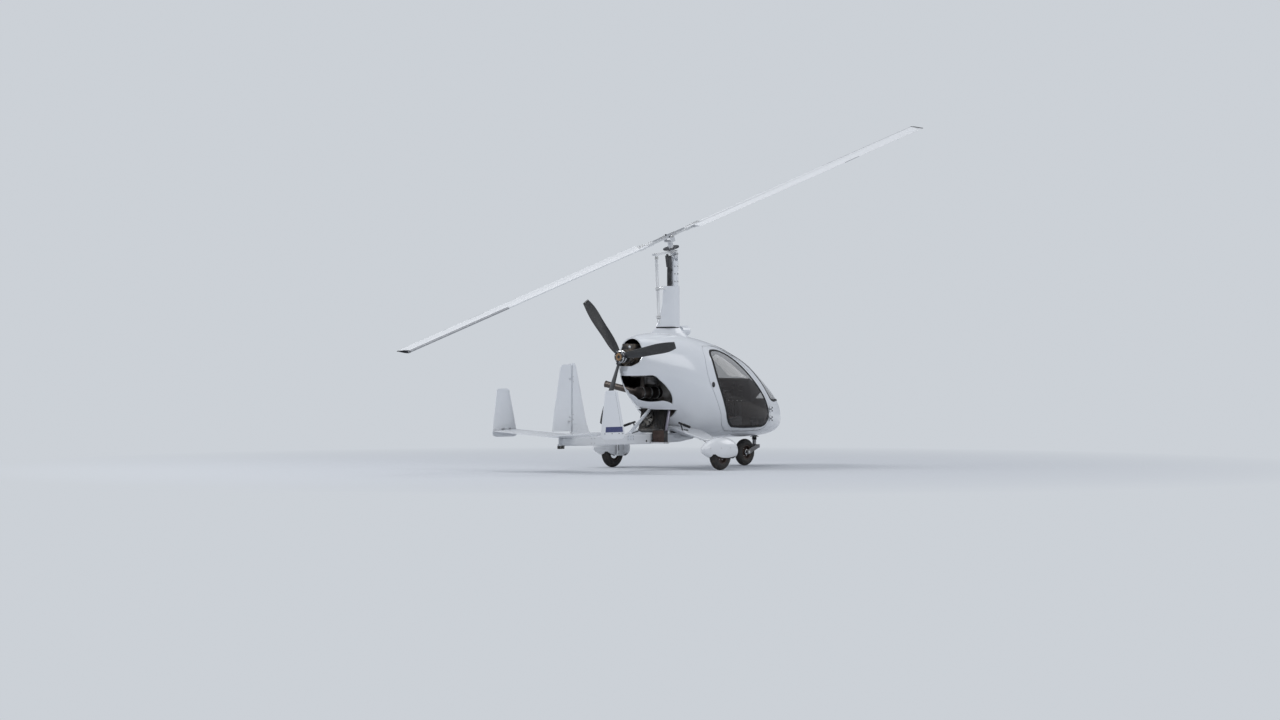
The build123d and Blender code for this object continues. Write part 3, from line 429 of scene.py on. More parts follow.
def skin(node, finish, angle=32, bevel=0.0, fitted=False):
    """A merged, smooth copy of a CAD node that stands for it."""
    pick(frame["nodes"][node])
    bpy.ops.object.duplicate()
    piece = bpy.context.object
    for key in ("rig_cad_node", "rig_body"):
        if key in piece:
            del piece[key]
    piece.parent = None
    bpy.ops.object.mode_set(mode="EDIT")
    bpy.ops.mesh.select_all(action="SELECT")
    bpy.ops.mesh.remove_doubles(threshold=0.00001)
    bpy.ops.object.mode_set(mode="OBJECT")
    if bevel:
        soften(piece, bevel, sharp=50)
    settle(piece, node + "_skin", finish, body_of_node[node], angle)
    if fitted:
        fitted_normals(piece)
    skins[node] = piece
    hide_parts(node)
    return piece


bodies = frame["record"]["behaviour"]["bodies"]
body_of_node = {node: body for body, nodes in bodies.items() for node in nodes}

for node in ("pod_shell", "mast_fairing", "mast_base", "air_scoop", "door_left", "door_right"):
    skin(node, pod_white, fitted=True)

# Linings. Inside, the cabin's walls have glued dark brown felt, and the engine bay's walls
# are painted black and dulled by oil.
felt = Finish("cabin_felt", (0.06, 0.047, 0.04), 0.9)
felt_cloud = felt.noise(7, 4)
felt_fibre = felt.noise(500, 3)
felt.set("Base Color", felt.mix(felt_cloud * 0.6 + felt_fibre * 0.4, (0.075, 0.058, 0.048),
    (0.04, 0.032, 0.028)))
felt.set("Roughness", felt_fibre * 0.15 + 0.8)
felt.bump(felt_fibre, 0.5, 0.001)
bay_black = worn_finish("bay_black", (0.02, 0.019, 0.018), (0.055, 0.045, 0.035), (12, 5, 0.65),
    (0.55, 0.3), (0.35, 0.4))
POD_MIDDLE = Vector((0.6, 0, 0.93))
lined(skins["pod_shell"], POD_MIDDLE, felt, (-0.012, bay_black))
for label in ("left", "right"):
    lined(skins["door_" + label], POD_MIDDLE, felt)

# Window panes and their rubber. The side windows and the one-piece windscreen are smoke
# tinted acrylic, flush with the skin, each held in a black rubber bead that runs all round.
smoke = Finish("smoke_acrylic", (0.058, 0.048, 0.044), 0.04, Coat_Weight=1.0, Coat_Roughness=0.02)
smoke.set("Alpha", smoke.noise(2.2, 2) * 0.04 + 0.22)
smoke.set("Roughness", smoke.noise(40, 4).above(0.62, 0.2) * 0.05 + 0.03)
for node in ("door_glass_left", "door_glass_right", "windshield"):
    skin(node, smoke, angle=60, fitted=True)

rubber = worn_finish("seal_rubber", (0.011, 0.011, 0.012), None, (120, 3), None, (0.6, 0.25))

WINDOW_OUTLINE = ((0.184, 1.391), (0.25, 1.393), (0.316, 1.386), (0.43, 1.352), (0.549, 1.296),
    (0.676, 1.206), (0.803, 1.092), (0.915, 0.985), (1.024, 0.876), (1.102, 0.784), (1.157, 0.685),
    (1.163, 0.594), (1.132, 0.508), (1.08, 0.489), (1.02, 0.486), (0.76, 0.481), (0.521, 0.491),
    (0.438, 0.536), (0.333, 0.658), (0.244, 0.807), (0.167, 0.991), (0.127, 1.161), (0.128, 1.3),
    (0.142, 1.365))
SCREEN_OUTLINE = ((0.502, 1.6), (0.52, 1.44), (0.545, 1.397), (0.59, 1.372), (0.76, 1.3),
    (0.908, 1.215), (1.013, 1.102), (1.14, 0.962), (1.2, 0.888), (1.262, 0.818), (1.29, 0.796),
    (1.33, 0.786), (1.5, 0.79), (1.78, 0.786))


def arc_through(a, b, c, count):
    """Points on the arc from a to c through b, without its last point."""
    (ax, ay), (bx, by), (cx, cy) = a, b, c
    d = 2 * (ax * (by - cy) + bx * (cy - ay) + cx * (ay - by))
    if abs(d) < 1e-7:
        return [(ax + (cx - ax) * i / count, ay + (cy - ay) * i / count) for i in range(count)]
    sq = [x * x + y * y for x, y in (a, b, c)]
    ux = (sq[0] * (by - cy) + sq[1] * (cy - ay) + sq[2] * (ay - by)) / d
    uy = (sq[0] * (cx - bx) + sq[1] * (ax - cx) + sq[2] * (bx - ax)) / d
    start = math.atan2(ay - uy, ax - ux)
    middle = math.atan2(by - uy, bx - ux)
    end = math.atan2(cy - uy, cx - ux)
    radius = math.hypot(ax - ux, ay - uy)
    turn = (end - start) % (2 * math.pi)
    if (middle - start) % (2 * math.pi) > turn:
        turn -= 2 * math.pi
    return [(ux + radius * math.cos(start + turn * i / count),
        uy + radius * math.sin(start + turn * i / count)) for i in range(count)]


def arc_outline(points, count=8):
    """A closed outline of arcs, each through three points, as the panes are cut."""
    path = []
    for index in range(0, len(points), 2):
        path += arc_through(points[index], points[index + 1], points[(index + 2) % len(points)],
            count)
    return path


class Surface:
    """The faces of finished skins, to lay thin pieces on."""

    def __init__(self, *nodes):
        places, faces = [], []
        self.facing = []
        for node in nodes:
            mesh = skins[node].data
            start = len(places)
            places += [vertex.co.copy() for vertex in mesh.vertices]
            for polygon in mesh.polygons:
                faces.append([start + index for index in polygon.vertices])
                total = sum((Vector(mesh.corner_normals[corner].vector)
                    for corner in polygon.loop_indices), Vector())
                self.facing.append(total.normalized())
        self.tree = BVHTree.FromPolygons(places, faces)

    def hit(self, origin, way):
        """Where a ray meets the surface, and the smooth outward direction there."""
        place, _, index, _ = self.tree.ray_cast(Vector(origin), Vector(way))
        if place is None:
            return None
        normal = self.facing[index]
        return place, normal if normal.dot(Vector(way)) < 0 else -normal

    def outermost(self, origin, way, first, second, spread=0.006):
        """As hit, but from four rays round the place, so that a gap isn't followed inwards."""
        way = Vector(way)
        found = []
        for a, b in ((-1, -1), (-1, 1), (1, -1), (1, 1), (0, 0)):
            shift = Vector(first) * (a * spread) + Vector(second) * (b * spread)
            one = self.hit(Vector(origin) + shift, way)
            if one is not None:
                found.append((one[0] - shift, one[1]))
        if not found:
            place, _, index, _ = self.tree.find_nearest(Vector(origin) + way)
            return place, self.facing[index]
        nearest = min(place.dot(way) for place, _ in found)
        kept = [(place, normal) for place, normal in found if place.dot(way) < nearest
            + 0.012 and normal.dot(way) < -0.1]
        if not kept:
            kept = found
        depth = sum(place.dot(way) for place, _ in kept) / len(kept)
        place = Vector(origin) + way * (depth - Vector(origin).dot(way))
        return place, sum((normal for _, normal in kept), Vector()).normalized()


surfaces = {}


def surface_of(node):
    """One skin's surface, made when it is first asked for."""
    if node not in surfaces:
        surfaces[node] = Surface(node)
    return surfaces[node]


pod_surface = Surface("pod_shell", "door_left", "door_right", "door_glass_left",
    "door_glass_right", "windshield")
AHEAD, LEFTWARD, UPWARD = Vector((1, 0, 0)), Vector((0, 1, 0)), Vector((0, 0, 1))


def on_side(x, z, side):
    """The place and the outward direction of the pod's side at x and z."""
    return pod_surface.outermost((x, side * 2.0, z), (0, -side, 0), AHEAD, UPWARD)


def on_top(x, y):
    """The same from above."""
    return pod_surface.outermost((x, y, 3.0), (0, 0, -1), AHEAD, LEFTWARD)


def from_bmesh(name, mesh):
    """Puts a finished bmesh in the scene as an object."""
    data = bpy.data.meshes.new(name)
    mesh.to_mesh(data)
    mesh.free()
    return add_object(name, data)


def lofted(name, runs, closed=False):
    """One object of runs of rings, each ring joined to the next.

    A closed run joins its last ring to its first; any other has its two ends filled.
    """
    mesh = bmesh.new()
    for rings in runs:
        rows = [[mesh.verts.new(place) for place in ring] for ring in rings]
        for first, second in zip(rows, rows[1:] + (rows[:1] if closed else [])):
            for k, corner in enumerate(first):
                n = (k + 1) % len(first)
                mesh.faces.new((corner, first[n], second[n], second[k]))
        if not closed:
            mesh.faces.new(rows[0][::-1])
            mesh.faces.new(rows[-1])
    bmesh.ops.recalc_face_normals(mesh, faces=mesh.faces)
    return from_bmesh(name, mesh)


def strip(name, path, width, height, finish, body="airframe", sunk=0.001):
    """A raised strip laid round a loop of places on a surface, each with its direction."""
    section = ((-0.5, -sunk), (-0.5, height * 0.45), (-0.32, height * 0.95), (0, height),
        (0.32, height * 0.95), (0.5, height * 0.45), (0.5, -sunk))
    rings = []
    for index, (place, normal) in enumerate(path):
        along = path[(index + 1) % len(path)][0] - path[index - 1][0]
        across = along.cross(normal).normalized()
        rings.append([place + across * (s * width) + normal * h for s, h in section])
    return settle(lofted(name, [rings], closed=True), name, finish, body, 40)


def even_path(places, step, closed=True):
    """The same outline with evenly spaced points."""
    loop = places + [places[0]] if closed else places
    lengths = [0.0]
    for a, b in zip(loop, loop[1:]):
        lengths.append(lengths[-1] + math.dist(a, b))
    count = max(4, round(lengths[-1] / step))
    result = []
    index = 0
    for k in range(count if closed else count + 1):
        want = lengths[-1] * k / count
        while index < len(lengths) - 2 and lengths[index + 1] < want:
            index += 1
        span = lengths[index + 1] - lengths[index]
        part = (want - lengths[index]) / span if span else 0
        a, b = loop[index], loop[index + 1]
        result.append(tuple(p + (q - p) * part for p, q in zip(a, b)))
    return result


SIDES = ((1, "left"), (-1, "right"))
for side, label in SIDES:
    outline = even_path(arc_outline(WINDOW_OUTLINE), 0.012)
    strip("window_seal_" + label, [on_side(x, z, side) for x, z in outline], 0.029, 0.004, rubber,
        body=label + "_door")


def on_nose(y, z):
    """The place and the outward direction of the nose, seen from the front."""
    return pod_surface.outermost((3.0, y, z), (-1, 0, 0), LEFTWARD, UPWARD)


screen_side = []
for index in range(2, len(SCREEN_OUTLINE) - 3, 2):
    screen_side += arc_through(*SCREEN_OUTLINE[index:index + 3], 10)
screen_side = even_path(screen_side, 0.02, closed=False)
half_edge = [on_side(x, z, -1) for x, z in screen_side]
roof_y = half_edge[0][0].y
nose_y = half_edge[-1][0].y
roof_x, nose_z = screen_side[0][0] - 0.01, screen_side[-1][1]
ROOF_STEPS, NOSE_STEPS = 14, 40
roof_edge = [on_top(roof_x, -roof_y * (1 - 2 * i / ROOF_STEPS)) for i in range(1, ROOF_STEPS)]
front_edge = [on_nose(nose_y * (1 - 2 * i / NOSE_STEPS), nose_z) for i in range(1, NOSE_STEPS)]
left_edge = [(Vector((p.x, -p.y, p.z)), Vector((n.x, -n.y, n.z))) for p, n in half_edge]
strip("screen_seal", roof_edge + half_edge + front_edge + left_edge[::-1], 0.022, 0.003, rubber)

# Mast and its fairing's top. The mast is a square drawn tube, painted, with bolted cheek
# plates at the top that hold the rotor head's roll bolt.
mast_paint = worn_finish("mast_paint", (0.76, 0.78, 0.81), (0.66, 0.69, 0.73), (5, 4), (0.5, 0.6),
    (0.22, 0.2))
skin("mast", mast_paint, bevel=0.0015)

bolt_steel = worn_finish("bolt_steel", (0.58, 0.58, 0.57), None, (300, 3), None, (0.2, 0.25), 1.0)


def bolt_mesh():
    """One hexagon bolt head on its washer, 1 across and facing +Z, modelled once."""
    bpy.ops.mesh.primitive_cylinder_add(vertices=6, radius=0.5, depth=0.42, location=(0, 0, 0.29))
    head = bpy.context.object
    soften(head, 0.05, 1)
    bpy.ops.object.modifier_apply(modifier="edge")
    bpy.ops.mesh.primitive_cylinder_add(vertices=16, radius=0.62, depth=0.1, location=(0, 0, 0.04))
    washer = bpy.context.object
    pick(head)
    washer.select_set(True)
    bpy.ops.object.join()
    bpy.ops.object.transform_apply(location=True, rotation=True, scale=True)
    mesh = head.data
    bpy.data.objects.remove(head)
    return mesh


ONE_BOLT = bolt_mesh()


def bolt_circle(centre, facing, reach, count, start=0.0):
    """Places evenly round a circle across facing, each with that direction."""
    along = max(range(3), key=lambda axis: abs(facing[axis]))
    first, second = [axis for axis in range(3) if axis != along]
    spots = []
    for index in range(count):
        place = Vector(centre)
        place[first] += reach * math.cos(start + 2 * math.pi * index / count)
        place[second] += reach * math.sin(start + 2 * math.pi * index / count)
        spots.append((place, facing))
    return spots


def side_spots(xs, y, zs, sides=(-1, 1)):
    """Places in rows at a distance y to the sides, each facing outwards."""
    return [((x, side * y, z), (0, side, 0)) for side in sides for x in xs for z in zs]


def bolts(name, spots, size, finish=None, body="airframe"):
    """Bolt heads at places, each facing its own direction, joined in one piece."""
    mesh = bmesh.new()
    for place, facing in spots:
        turn = Vector(facing).to_track_quat("Z", "Y").to_matrix().to_4x4()
        move = Matrix.Translation(Vector(place)) @ turn @ Matrix.Scale(size, 4)
        start = len(mesh.verts)
        mesh.from_mesh(ONE_BOLT)
        mesh.verts.ensure_lookup_table()
        for vertex in mesh.verts[start:]:
            vertex.co = move @ vertex.co
    piece = from_bmesh(name, mesh)
    return settle(piece, name, finish or bolt_steel, body, 30)


def box_piece(name, low, high, finish, bevel=0.002, segments=2, body="airframe"):
    """A bevelled block between two opposite corners."""
    bpy.ops.mesh.primitive_cube_add(size=1, location=[(a + b) / 2 for a, b in zip(low, high)])
    piece = bpy.context.object
    piece.scale = [abs(b - a) for a, b in zip(low, high)]
    bpy.ops.object.transform_apply(location=False, rotation=False, scale=True)
    soften(piece, bevel, segments)
    return settle(piece, name, finish, body)


def rod_piece(name, start, end, radius, finish, sides, bevel, body="airframe"):
    """A round bar between two places, with softened ends."""
    first, second = Vector(start), Vector(end)
    along = second - first
    bpy.ops.mesh.primitive_cylinder_add(vertices=sides, radius=radius, depth=along.length,
        location=(first + second) / 2)
    piece = bpy.context.object
    piece.rotation_mode = "QUATERNION"
    piece.rotation_quaternion = along.to_track_quat("Z", "Y")
    soften(piece, bevel)
    return settle(piece, name, finish, body)


def drawn(name, places, radius=0.0, rounding=0, kind="NURBS", order=4, smooth=12, closed=False):
    """A spline through places, with a round section if it has a radius, made a mesh."""
    data = bpy.data.curves.new(name, "CURVE")
    data.dimensions = "3D"
    data.bevel_depth = radius
    data.bevel_resolution = rounding
    data.use_fill_caps = not closed
    line = data.splines.new(kind)
    line.points.add(len(places) - 1)
    for point, place in zip(line.points, places):
        point.co = (*place, 1)
    line.order_u = min(order, len(places))
    line.use_endpoint_u = not closed
    line.use_cyclic_u = closed
    line.resolution_u = smooth
    pick(add_object(name, data))
    bpy.ops.object.convert(target="MESH")
    return bpy.context.object


def pipe(name, places, radius, finish, sides=8, smooth=12, closed=False, body="airframe"):
    """A bent pipe, hose or welt through places."""
    piece = drawn(name, places, radius, sides // 2, smooth=smooth, closed=closed)
    return settle(piece, name, finish, body, 60)


def turned(name, profile, centre, axis, finish, steps=48, angle=35, body="airframe"):
    """A turned piece. Its profile holds radii and heights along the axis, in millimetres."""
    data = bpy.data.meshes.new(name)
    data.from_pydata([(r / 1000, 0, h / 1000) for r, h in profile],
        [(i, i + 1) for i in range(len(profile) - 1)], [])
    piece = add_object(name, data)
    pick(piece)
    bpy.ops.object.mode_set(mode="EDIT")
    bpy.ops.mesh.select_all(action="SELECT")
    bpy.ops.mesh.spin(steps=steps, angle=2 * math.pi, center=(0, 0, 0), axis=(0, 0, 1))
    bpy.ops.mesh.select_all(action="SELECT")
    bpy.ops.mesh.remove_doubles(threshold=0.00002)
    bpy.ops.mesh.normals_make_consistent(inside=False)
    bpy.ops.object.mode_set(mode="OBJECT")
    piece.rotation_mode = "QUATERNION"
    piece.rotation_quaternion = Vector(axis).to_track_quat("Z", "Y")
    piece.location = centre
    return settle(piece, name, finish, body, angle)


TILT = math.radians(18)
HUB = Vector((0, 0, 2.735))
ALONG = Vector((math.cos(TILT), 0, math.sin(TILT)))
UPRIGHT = Vector((-math.sin(TILT), 0, math.cos(TILT)))
ACROSS = Vector((0, 1, 0))


def in_rotor(u, v, w):
    """A place in the tilted rotor's own frame: along the blades, across, and up."""
    return HUB + ALONG * u + ACROSS * v + UPRIGHT * w


bolts("mast_bolts", side_spots((0.07, 0.124), 0.0372, (2.2, 2.29, 2.38))
    + [((0.146, 0, 2.49), (1, 0, 0)), ((0.054, 0, 2.49), (-1, 0, 0))], 0.014)

# Gasket at the foot of the mast fairing. A black rubber edge strip closes the joint
# between the fairing and the moulded hump.
def ring_along(name, z, rear, front, half, width, height, finish, body="airframe"):
    """A flat rubber ring that follows a teardrop outline, with a rounded section."""
    outline = []
    steps = 48
    for step in range(steps):
        angle = 2 * math.pi * step / steps
        reach = (1 + math.cos(angle)) / 2
        taper = min(1.0, 0.12 + 1.9 * reach) if reach < 0.5 else 1.0
        x = rear + (front - rear) * reach
        y = half * math.sin(angle) * taper
        outline.append(Vector((x, y, z)))
    piece = drawn(name, outline, width / 2, 2, "POLY", closed=True)
    piece.scale = (1, 1, height / width)
    piece.location = (0, 0, z * (1 - height / width))
    return settle(piece, name, finish, body, 60)


ring_along("fairing_gasket", 1.661, -0.222, 0.166, 0.06, 0.012, 0.016, rubber)

# Control rods and their guide. Two white enamelled push rods run up behind the fairing
# to the head, through nylon guides, with steel rod ends and a polished guide knob.
rod_white = worn_finish("rod_enamel", (0.8, 0.81, 0.82), (0.68, 0.69, 0.7), (9, 4), (0.55, 0.5),
    (0.14, 0.25))
skin("control_rods", rod_white, bevel=0.001)

polished = worn_finish("polished_alloy", (0.86, 0.87, 0.88), None, (120, 3), None, (0.08, 0.12),
    1.0)
black_nylon = worn_finish("black_nylon", (0.022, 0.022, 0.024), (0.045, 0.045, 0.048), (260, 3),
    (0.6, 0.3), (0.3, 0.3), grain=(0.1, 0.0004))

ROD_Y = 0.013
ROD_WAY = (-0.0585, 0, 1)
for side, label in SIDES:
    turned("rod_end_" + label, [(0, -30), (9.5, -30), (10.5, -26), (10.5, -8), (7, -4), (7, 6),
        (0, 6)], (-0.2235, side * ROD_Y, 2.492), ROD_WAY, bolt_steel, steps=24)
for name, z, reach in (("guide_bush_high", 2.114, -0.202), ("guide_bush_low", 1.783, -0.183)):
    for side, label in SIDES:
        turned("%s_%s" % (name, label), [(9.5, -14), (13.5, -14), (15, -11), (15, 11), (13.5, 14),
            (9.5, 14)], (reach, side * ROD_Y, z), ROD_WAY, black_nylon, steps=24)
turned("guide_knob", [(0, -24), (10, -22), (19, -14), (23, 0), (19, 14), (10, 22), (0, 24)],
    (-0.138, 0, 2.124), (0, 1, 0), polished, steps=32, angle=60)

# Prerotator. A black electric drive in a ribbed can is clamped to the back of the mast,
# and its tapered gearcase carries the small pinion under the ring gear.
drive_black = worn_finish("drive_black", (0.02, 0.021, 0.024), (0.055, 0.056, 0.06), (22, 4),
    (0.55, 0.3), (0.22, 0.3))
skin("prerotator", drive_black, bevel=0.0012)
rib_profile = [(25.2, 0)]
for step in range(16):
    base = 4 + step * 11.5
    rib_profile += [(25.2, base), (28.5, base + 1.2), (28.5, base + 4.8), (25.2, base + 6)]
turned("drive_ribs", rib_profile, (0.012, 0, 2.156), (0, 0, 1), drive_black, steps=40, angle=25)
turned("drive_cap", [(0, -12), (18, -12), (24.5, -8), (26, 0), (26, 10), (25.2, 10)],
    (0.012, 0, 2.152), (0, 0, 1), black_nylon, steps=40)
bolts("drive_bolts", side_spots((0.022,), 0.0205, (2.185, 2.335)), 0.009)
pipe("drive_cable", [(0.006, 0.01, 2.142), (-0.002, 0.018, 2.115), (0.012, 0.05, 2.095),
    (0.055, 0.052, 2.12), (0.085, 0.0405, 2.16), (0.095, 0.0405, 2.2)], 0.004, black_nylon)

# Rotor head. Milled alloy plates form the gimbal, with the torque bar that the control
# rods push; steel bolts with nuts are the roll, pitch and teeter axes.
milled = Finish("milled_alloy", (0.66, 0.67, 0.69), 0.34, 1.0)
milled_lines = milled.noise(1, 2, place=milled.place((12, 12, 900)))
milled.set("Roughness", milled_lines * 0.2 + 0.24)
milled.bump(milled_lines, 0.08, 0.0003)
head_dark = worn_finish("head_anodised", (0.05, 0.052, 0.058), (0.3, 0.3, 0.31), (34, 5, 0.7),
    (0.63, 0.08), (0.2, 0.3), 0.7)
skin("gimbal", milled, bevel=0.0012)
skin("rotor_head", rod_white, bevel=0.0015)
skin("rotor_hub", milled, bevel=0.0012)

TEETH = 72
TOOTH_FOOT, TOOTH_LENGTH, TOOTH_WIDTH, TOOTH_HEIGHT = 0.0905, 0.0055, 0.0044, 0.0098
ring = bmesh.new()
for index in range(TEETH):
    turn_angle = 2 * math.pi * index / TEETH
    made = bmesh.ops.create_cube(ring, size=1)["verts"]
    for vertex in made:
        taper = 0.62 if vertex.co.x > 0 else 1.0
        x = TOOTH_FOOT + (vertex.co.x + 0.5) * TOOTH_LENGTH
        y = vertex.co.y * TOOTH_WIDTH * taper
        vertex.co = Vector((x * math.cos(turn_angle) - y * math.sin(turn_angle),
            x * math.sin(turn_angle) + y * math.cos(turn_angle),
            -0.147 + vertex.co.z * TOOTH_HEIGHT))
ring_teeth = from_bmesh("ring_teeth", ring)
ring_teeth.rotation_euler = (0, -TILT, 0)
ring_teeth.location = HUB
settle(ring_teeth, "ring_teeth", head_dark, "hub", angle=0)
turned("ring_face", [(31, -153.6), (86, -153.6), (91, -152), (92.5, -150), (92.5, -144),
    (91, -142), (86, -140.4), (72, -140.4), (70, -141.2), (50, -141.2), (48, -140.4),
    (31, -140.4)], HUB, UPRIGHT, head_dark, steps=72, body="hub")
turned("bearing_cap", [(16.5, -158), (34, -158), (38.5, -161), (39.5, -166), (39.5, -171),
    (38.2, -172)], HUB, UPRIGHT, milled, steps=48, body="head")
RING_REACH = 0.06
bolts("ring_bolts", [(in_rotor(RING_REACH * math.cos(a), RING_REACH * math.sin(a), -0.141),
    UPRIGHT) for a in [math.pi * k / 4 for k in range(8)]], 0.01, body="hub")

ROTOR_TURN = math.radians(-6.6)
BLADE_WAY = ALONG * math.cos(ROTOR_TURN) + ACROSS * math.sin(ROTOR_TURN)
CHORD_WAY = ACROSS * math.cos(ROTOR_TURN) - ALONG * math.sin(ROTOR_TURN)


def on_rotor(u, v, w):
    """A place in the turned rotor's frame: out along the front blade, across it, and up."""
    return HUB + BLADE_WAY * u + CHORD_WAY * v + UPRIGHT * w


bolts("teeter_nuts", [(on_rotor(0, side * 0.0615, 0), CHORD_WAY * side) for side in (-1, 1)],
    0.026, body="hub")
bolts("tower_bolts", [(on_rotor(u, v, -0.0605), UPRIGHT) for u in (-0.022, 0.022)
    for v in (-0.035, 0.035)], 0.012, body="hub")
bolts("pitch_nuts", side_spots((0.1,), 0.0522, (2.525,)), 0.018, body="head_gimbal")
bolts("roll_nuts", [((0.1285, 0, 2.49), (1, 0, 0)), ((0.0715, 0, 2.49), (-1, 0, 0))], 0.018,
    body="head_gimbal")
bolts("plate_bolts", [(in_rotor(u, v, -0.1922), UPRIGHT) for u in (-0.035, 0.05)
    for v in (-0.04, 0.04)], 0.01, body="head")
bolts("torque_bar_bolts", [((-0.241, side * 0.013, 2.5245), (0, 0, 1)) for side in (-1, 1)], 0.012,
    body="head")

# Hub bar and blades. The bar is a milled alloy plate; the extruded alloy blades are
# painted white, have dark erosion edges, and are clamped in bolted grip plates.
bar_alloy = Finish("bar_alloy", (0.72, 0.73, 0.74), 0.28, 1.0)
bar_lines = bar_alloy.noise(1, 2, place=bar_alloy.place((6, 300, 300), (0, -TILT, ROTOR_TURN)))
bar_alloy.set("Roughness", bar_lines * 0.2 + 0.18)
bar_alloy.bump(bar_lines, 0.05, 0.0002)
skin("hub_bar", bar_alloy, bevel=0.002)

blade_white = Finish("blade_white", (0.8, 0.815, 0.835), 0.3, Coat_Weight=0.15)
streaks = blade_white.noise(1, 4, place=blade_white.place((1.2, 14, 14), (0, TILT, -ROTOR_TURN)))
flies = blade_white.noise(22, 3)
grime = streaks.above(0.55, 0.5) * 0.16 + flies.above(0.66, 0.1) * 0.05
blade_white.set("Base Color", blade_white.mix(grime, (0.8, 0.815, 0.835), (0.6, 0.61, 0.62)))
blade_white.set("Roughness", streaks * 0.12 + flies * 0.06 + 0.26)

edge_grey = worn_finish("erosion_edge", (0.33, 0.34, 0.36), (0.55, 0.55, 0.56), (40, 5, 0.75),
    (0.6, 0.15), (0.22, 0.35), 0.55)

BLADE_OUTLINE = ((0.055, 0.0), (0.0535, 0.0052), (0.05, 0.0085), (0.042, 0.0118), (0.03, 0.014))
BLADE_UNDER = ((0.0535, -0.0048), (0.05, -0.0078), (0.042, -0.0108), (0.03, -0.0129))


def plate_between(name, rings, finish, angle=30, body="airframe"):
    """A solid strip through rings of places."""
    return settle(lofted(name, [rings]), name, finish, body, angle)


edge_outer = ([(v + 0.0006, w * 1.03) for v, w in BLADE_OUTLINE[::-1]]
    + [(v + 0.0006, w * 1.05) for v, w in BLADE_UNDER])
edge_inner = [(v - 0.002, w * 0.9) for v, w in edge_outer[::-1]]
TIP_CAP = ((0.0555, 0.0), (0.05, 0.0098), (0.03, 0.0152), (0.0, 0.0158), (-0.04, 0.0146),
    (-0.1, 0.0078), (-0.166, 0.0012), (-0.166, -0.0012), (-0.1, -0.0058), (-0.04, -0.0128),
    (0.0, -0.0142), (0.03, -0.014), (0.05, -0.0088))
TRIM_TAB = ((-0.158, 0.0022), (-0.1655, 0.0016), (-0.1655, -0.0016), (-0.158, -0.0022))
for sign, label in ((1, "front"), (-1, "rear")):
    skin("blade_" + label, blade_white)
    for name, section, finish, angle, stations in (
            ("erosion_edge", edge_outer + edge_inner, edge_grey, 30,
             ((2.7, 1.0), (3.2, 1.0), (3.7, 1.0), (4.285, 1.0))),
            ("tip_cap", TIP_CAP, head_dark, 30,
             ((4.2785, 1.0), (4.28, 1.02), (4.2985, 1.02), (4.3, 0.94))),
            ("trim_tab", TRIM_TAB, edge_grey, 0, ((2.9, 1.0), (3.15, 1.0)))):
        rings = [[on_rotor(sign * u, sign * ((v + 0.055) * grow - 0.055), w * grow)
            for v, w in section] for u, grow in stations]
        plate_between("%s_%s" % (name, label), rings, finish, angle, body="rotor")
    bolts("grip_bolts_" + label, [(on_rotor(sign * u, sign * v, face * 0.0192), UPRIGHT * face)
        for u in (0.3, 0.335, 0.37, 0.42, 0.46, 0.5) for face in (1, -1)
        for v in ((-0.018, 0.018) if u > 0.38 else (0.0,))], 0.015, body="rotor")

bolts("bar_bolts", [(on_rotor(sign * u, v, 0.0121), UPRIGHT) for sign in (-1, 1)
    for u in (0.075, 0.115) for v in (-0.022, 0.022)], 0.014, body="rotor")
for side, label in SIDES:
    turned("teeter_bush_" + label, [(8.6, 46.2), (19, 46.2), (20.5, 47.5), (20.5, 50.5),
        (19, 51.2), (8.6, 51.2)], HUB, CHORD_WAY * side, head_dark, steps=32, body="rotor")

# Engine. A flat four with a cast grey crankcase, black ribbed barrels and heads, and an
# intake plenum on top, all dulled by oil mist and dust.
cast_grey = worn_finish("cast_alloy", (0.24, 0.24, 0.245), (0.075, 0.065, 0.055), (9, 5, 0.65),
    (0.5, 0.25), (0.35, 0.35), 0.75, grain=(210, 3, 0.25, 0.0008))
engine_black = worn_finish("engine_black", (0.03, 0.03, 0.031), (0.1, 0.09, 0.078), (14, 5, 0.65),
    (0.55, 0.2), (0.28, 0.4), grain=(320, 2, 0.15, 0.0005))
skin("engine", cast_grey, bevel=0.003)
CRANK_Z, INTAKE_Z = 1.186, 1.345
COVER_BOLT_ANGLES = (0.8, 2.35, 3.95, 5.5)
COVER_BOLT_REACH, COVER_FACE = 0.05, 0.2585
FIN_START, FIN_PITCH, FIN_FOOT, FIN_EDGE = 108, 9.4, 74.5, 81.5

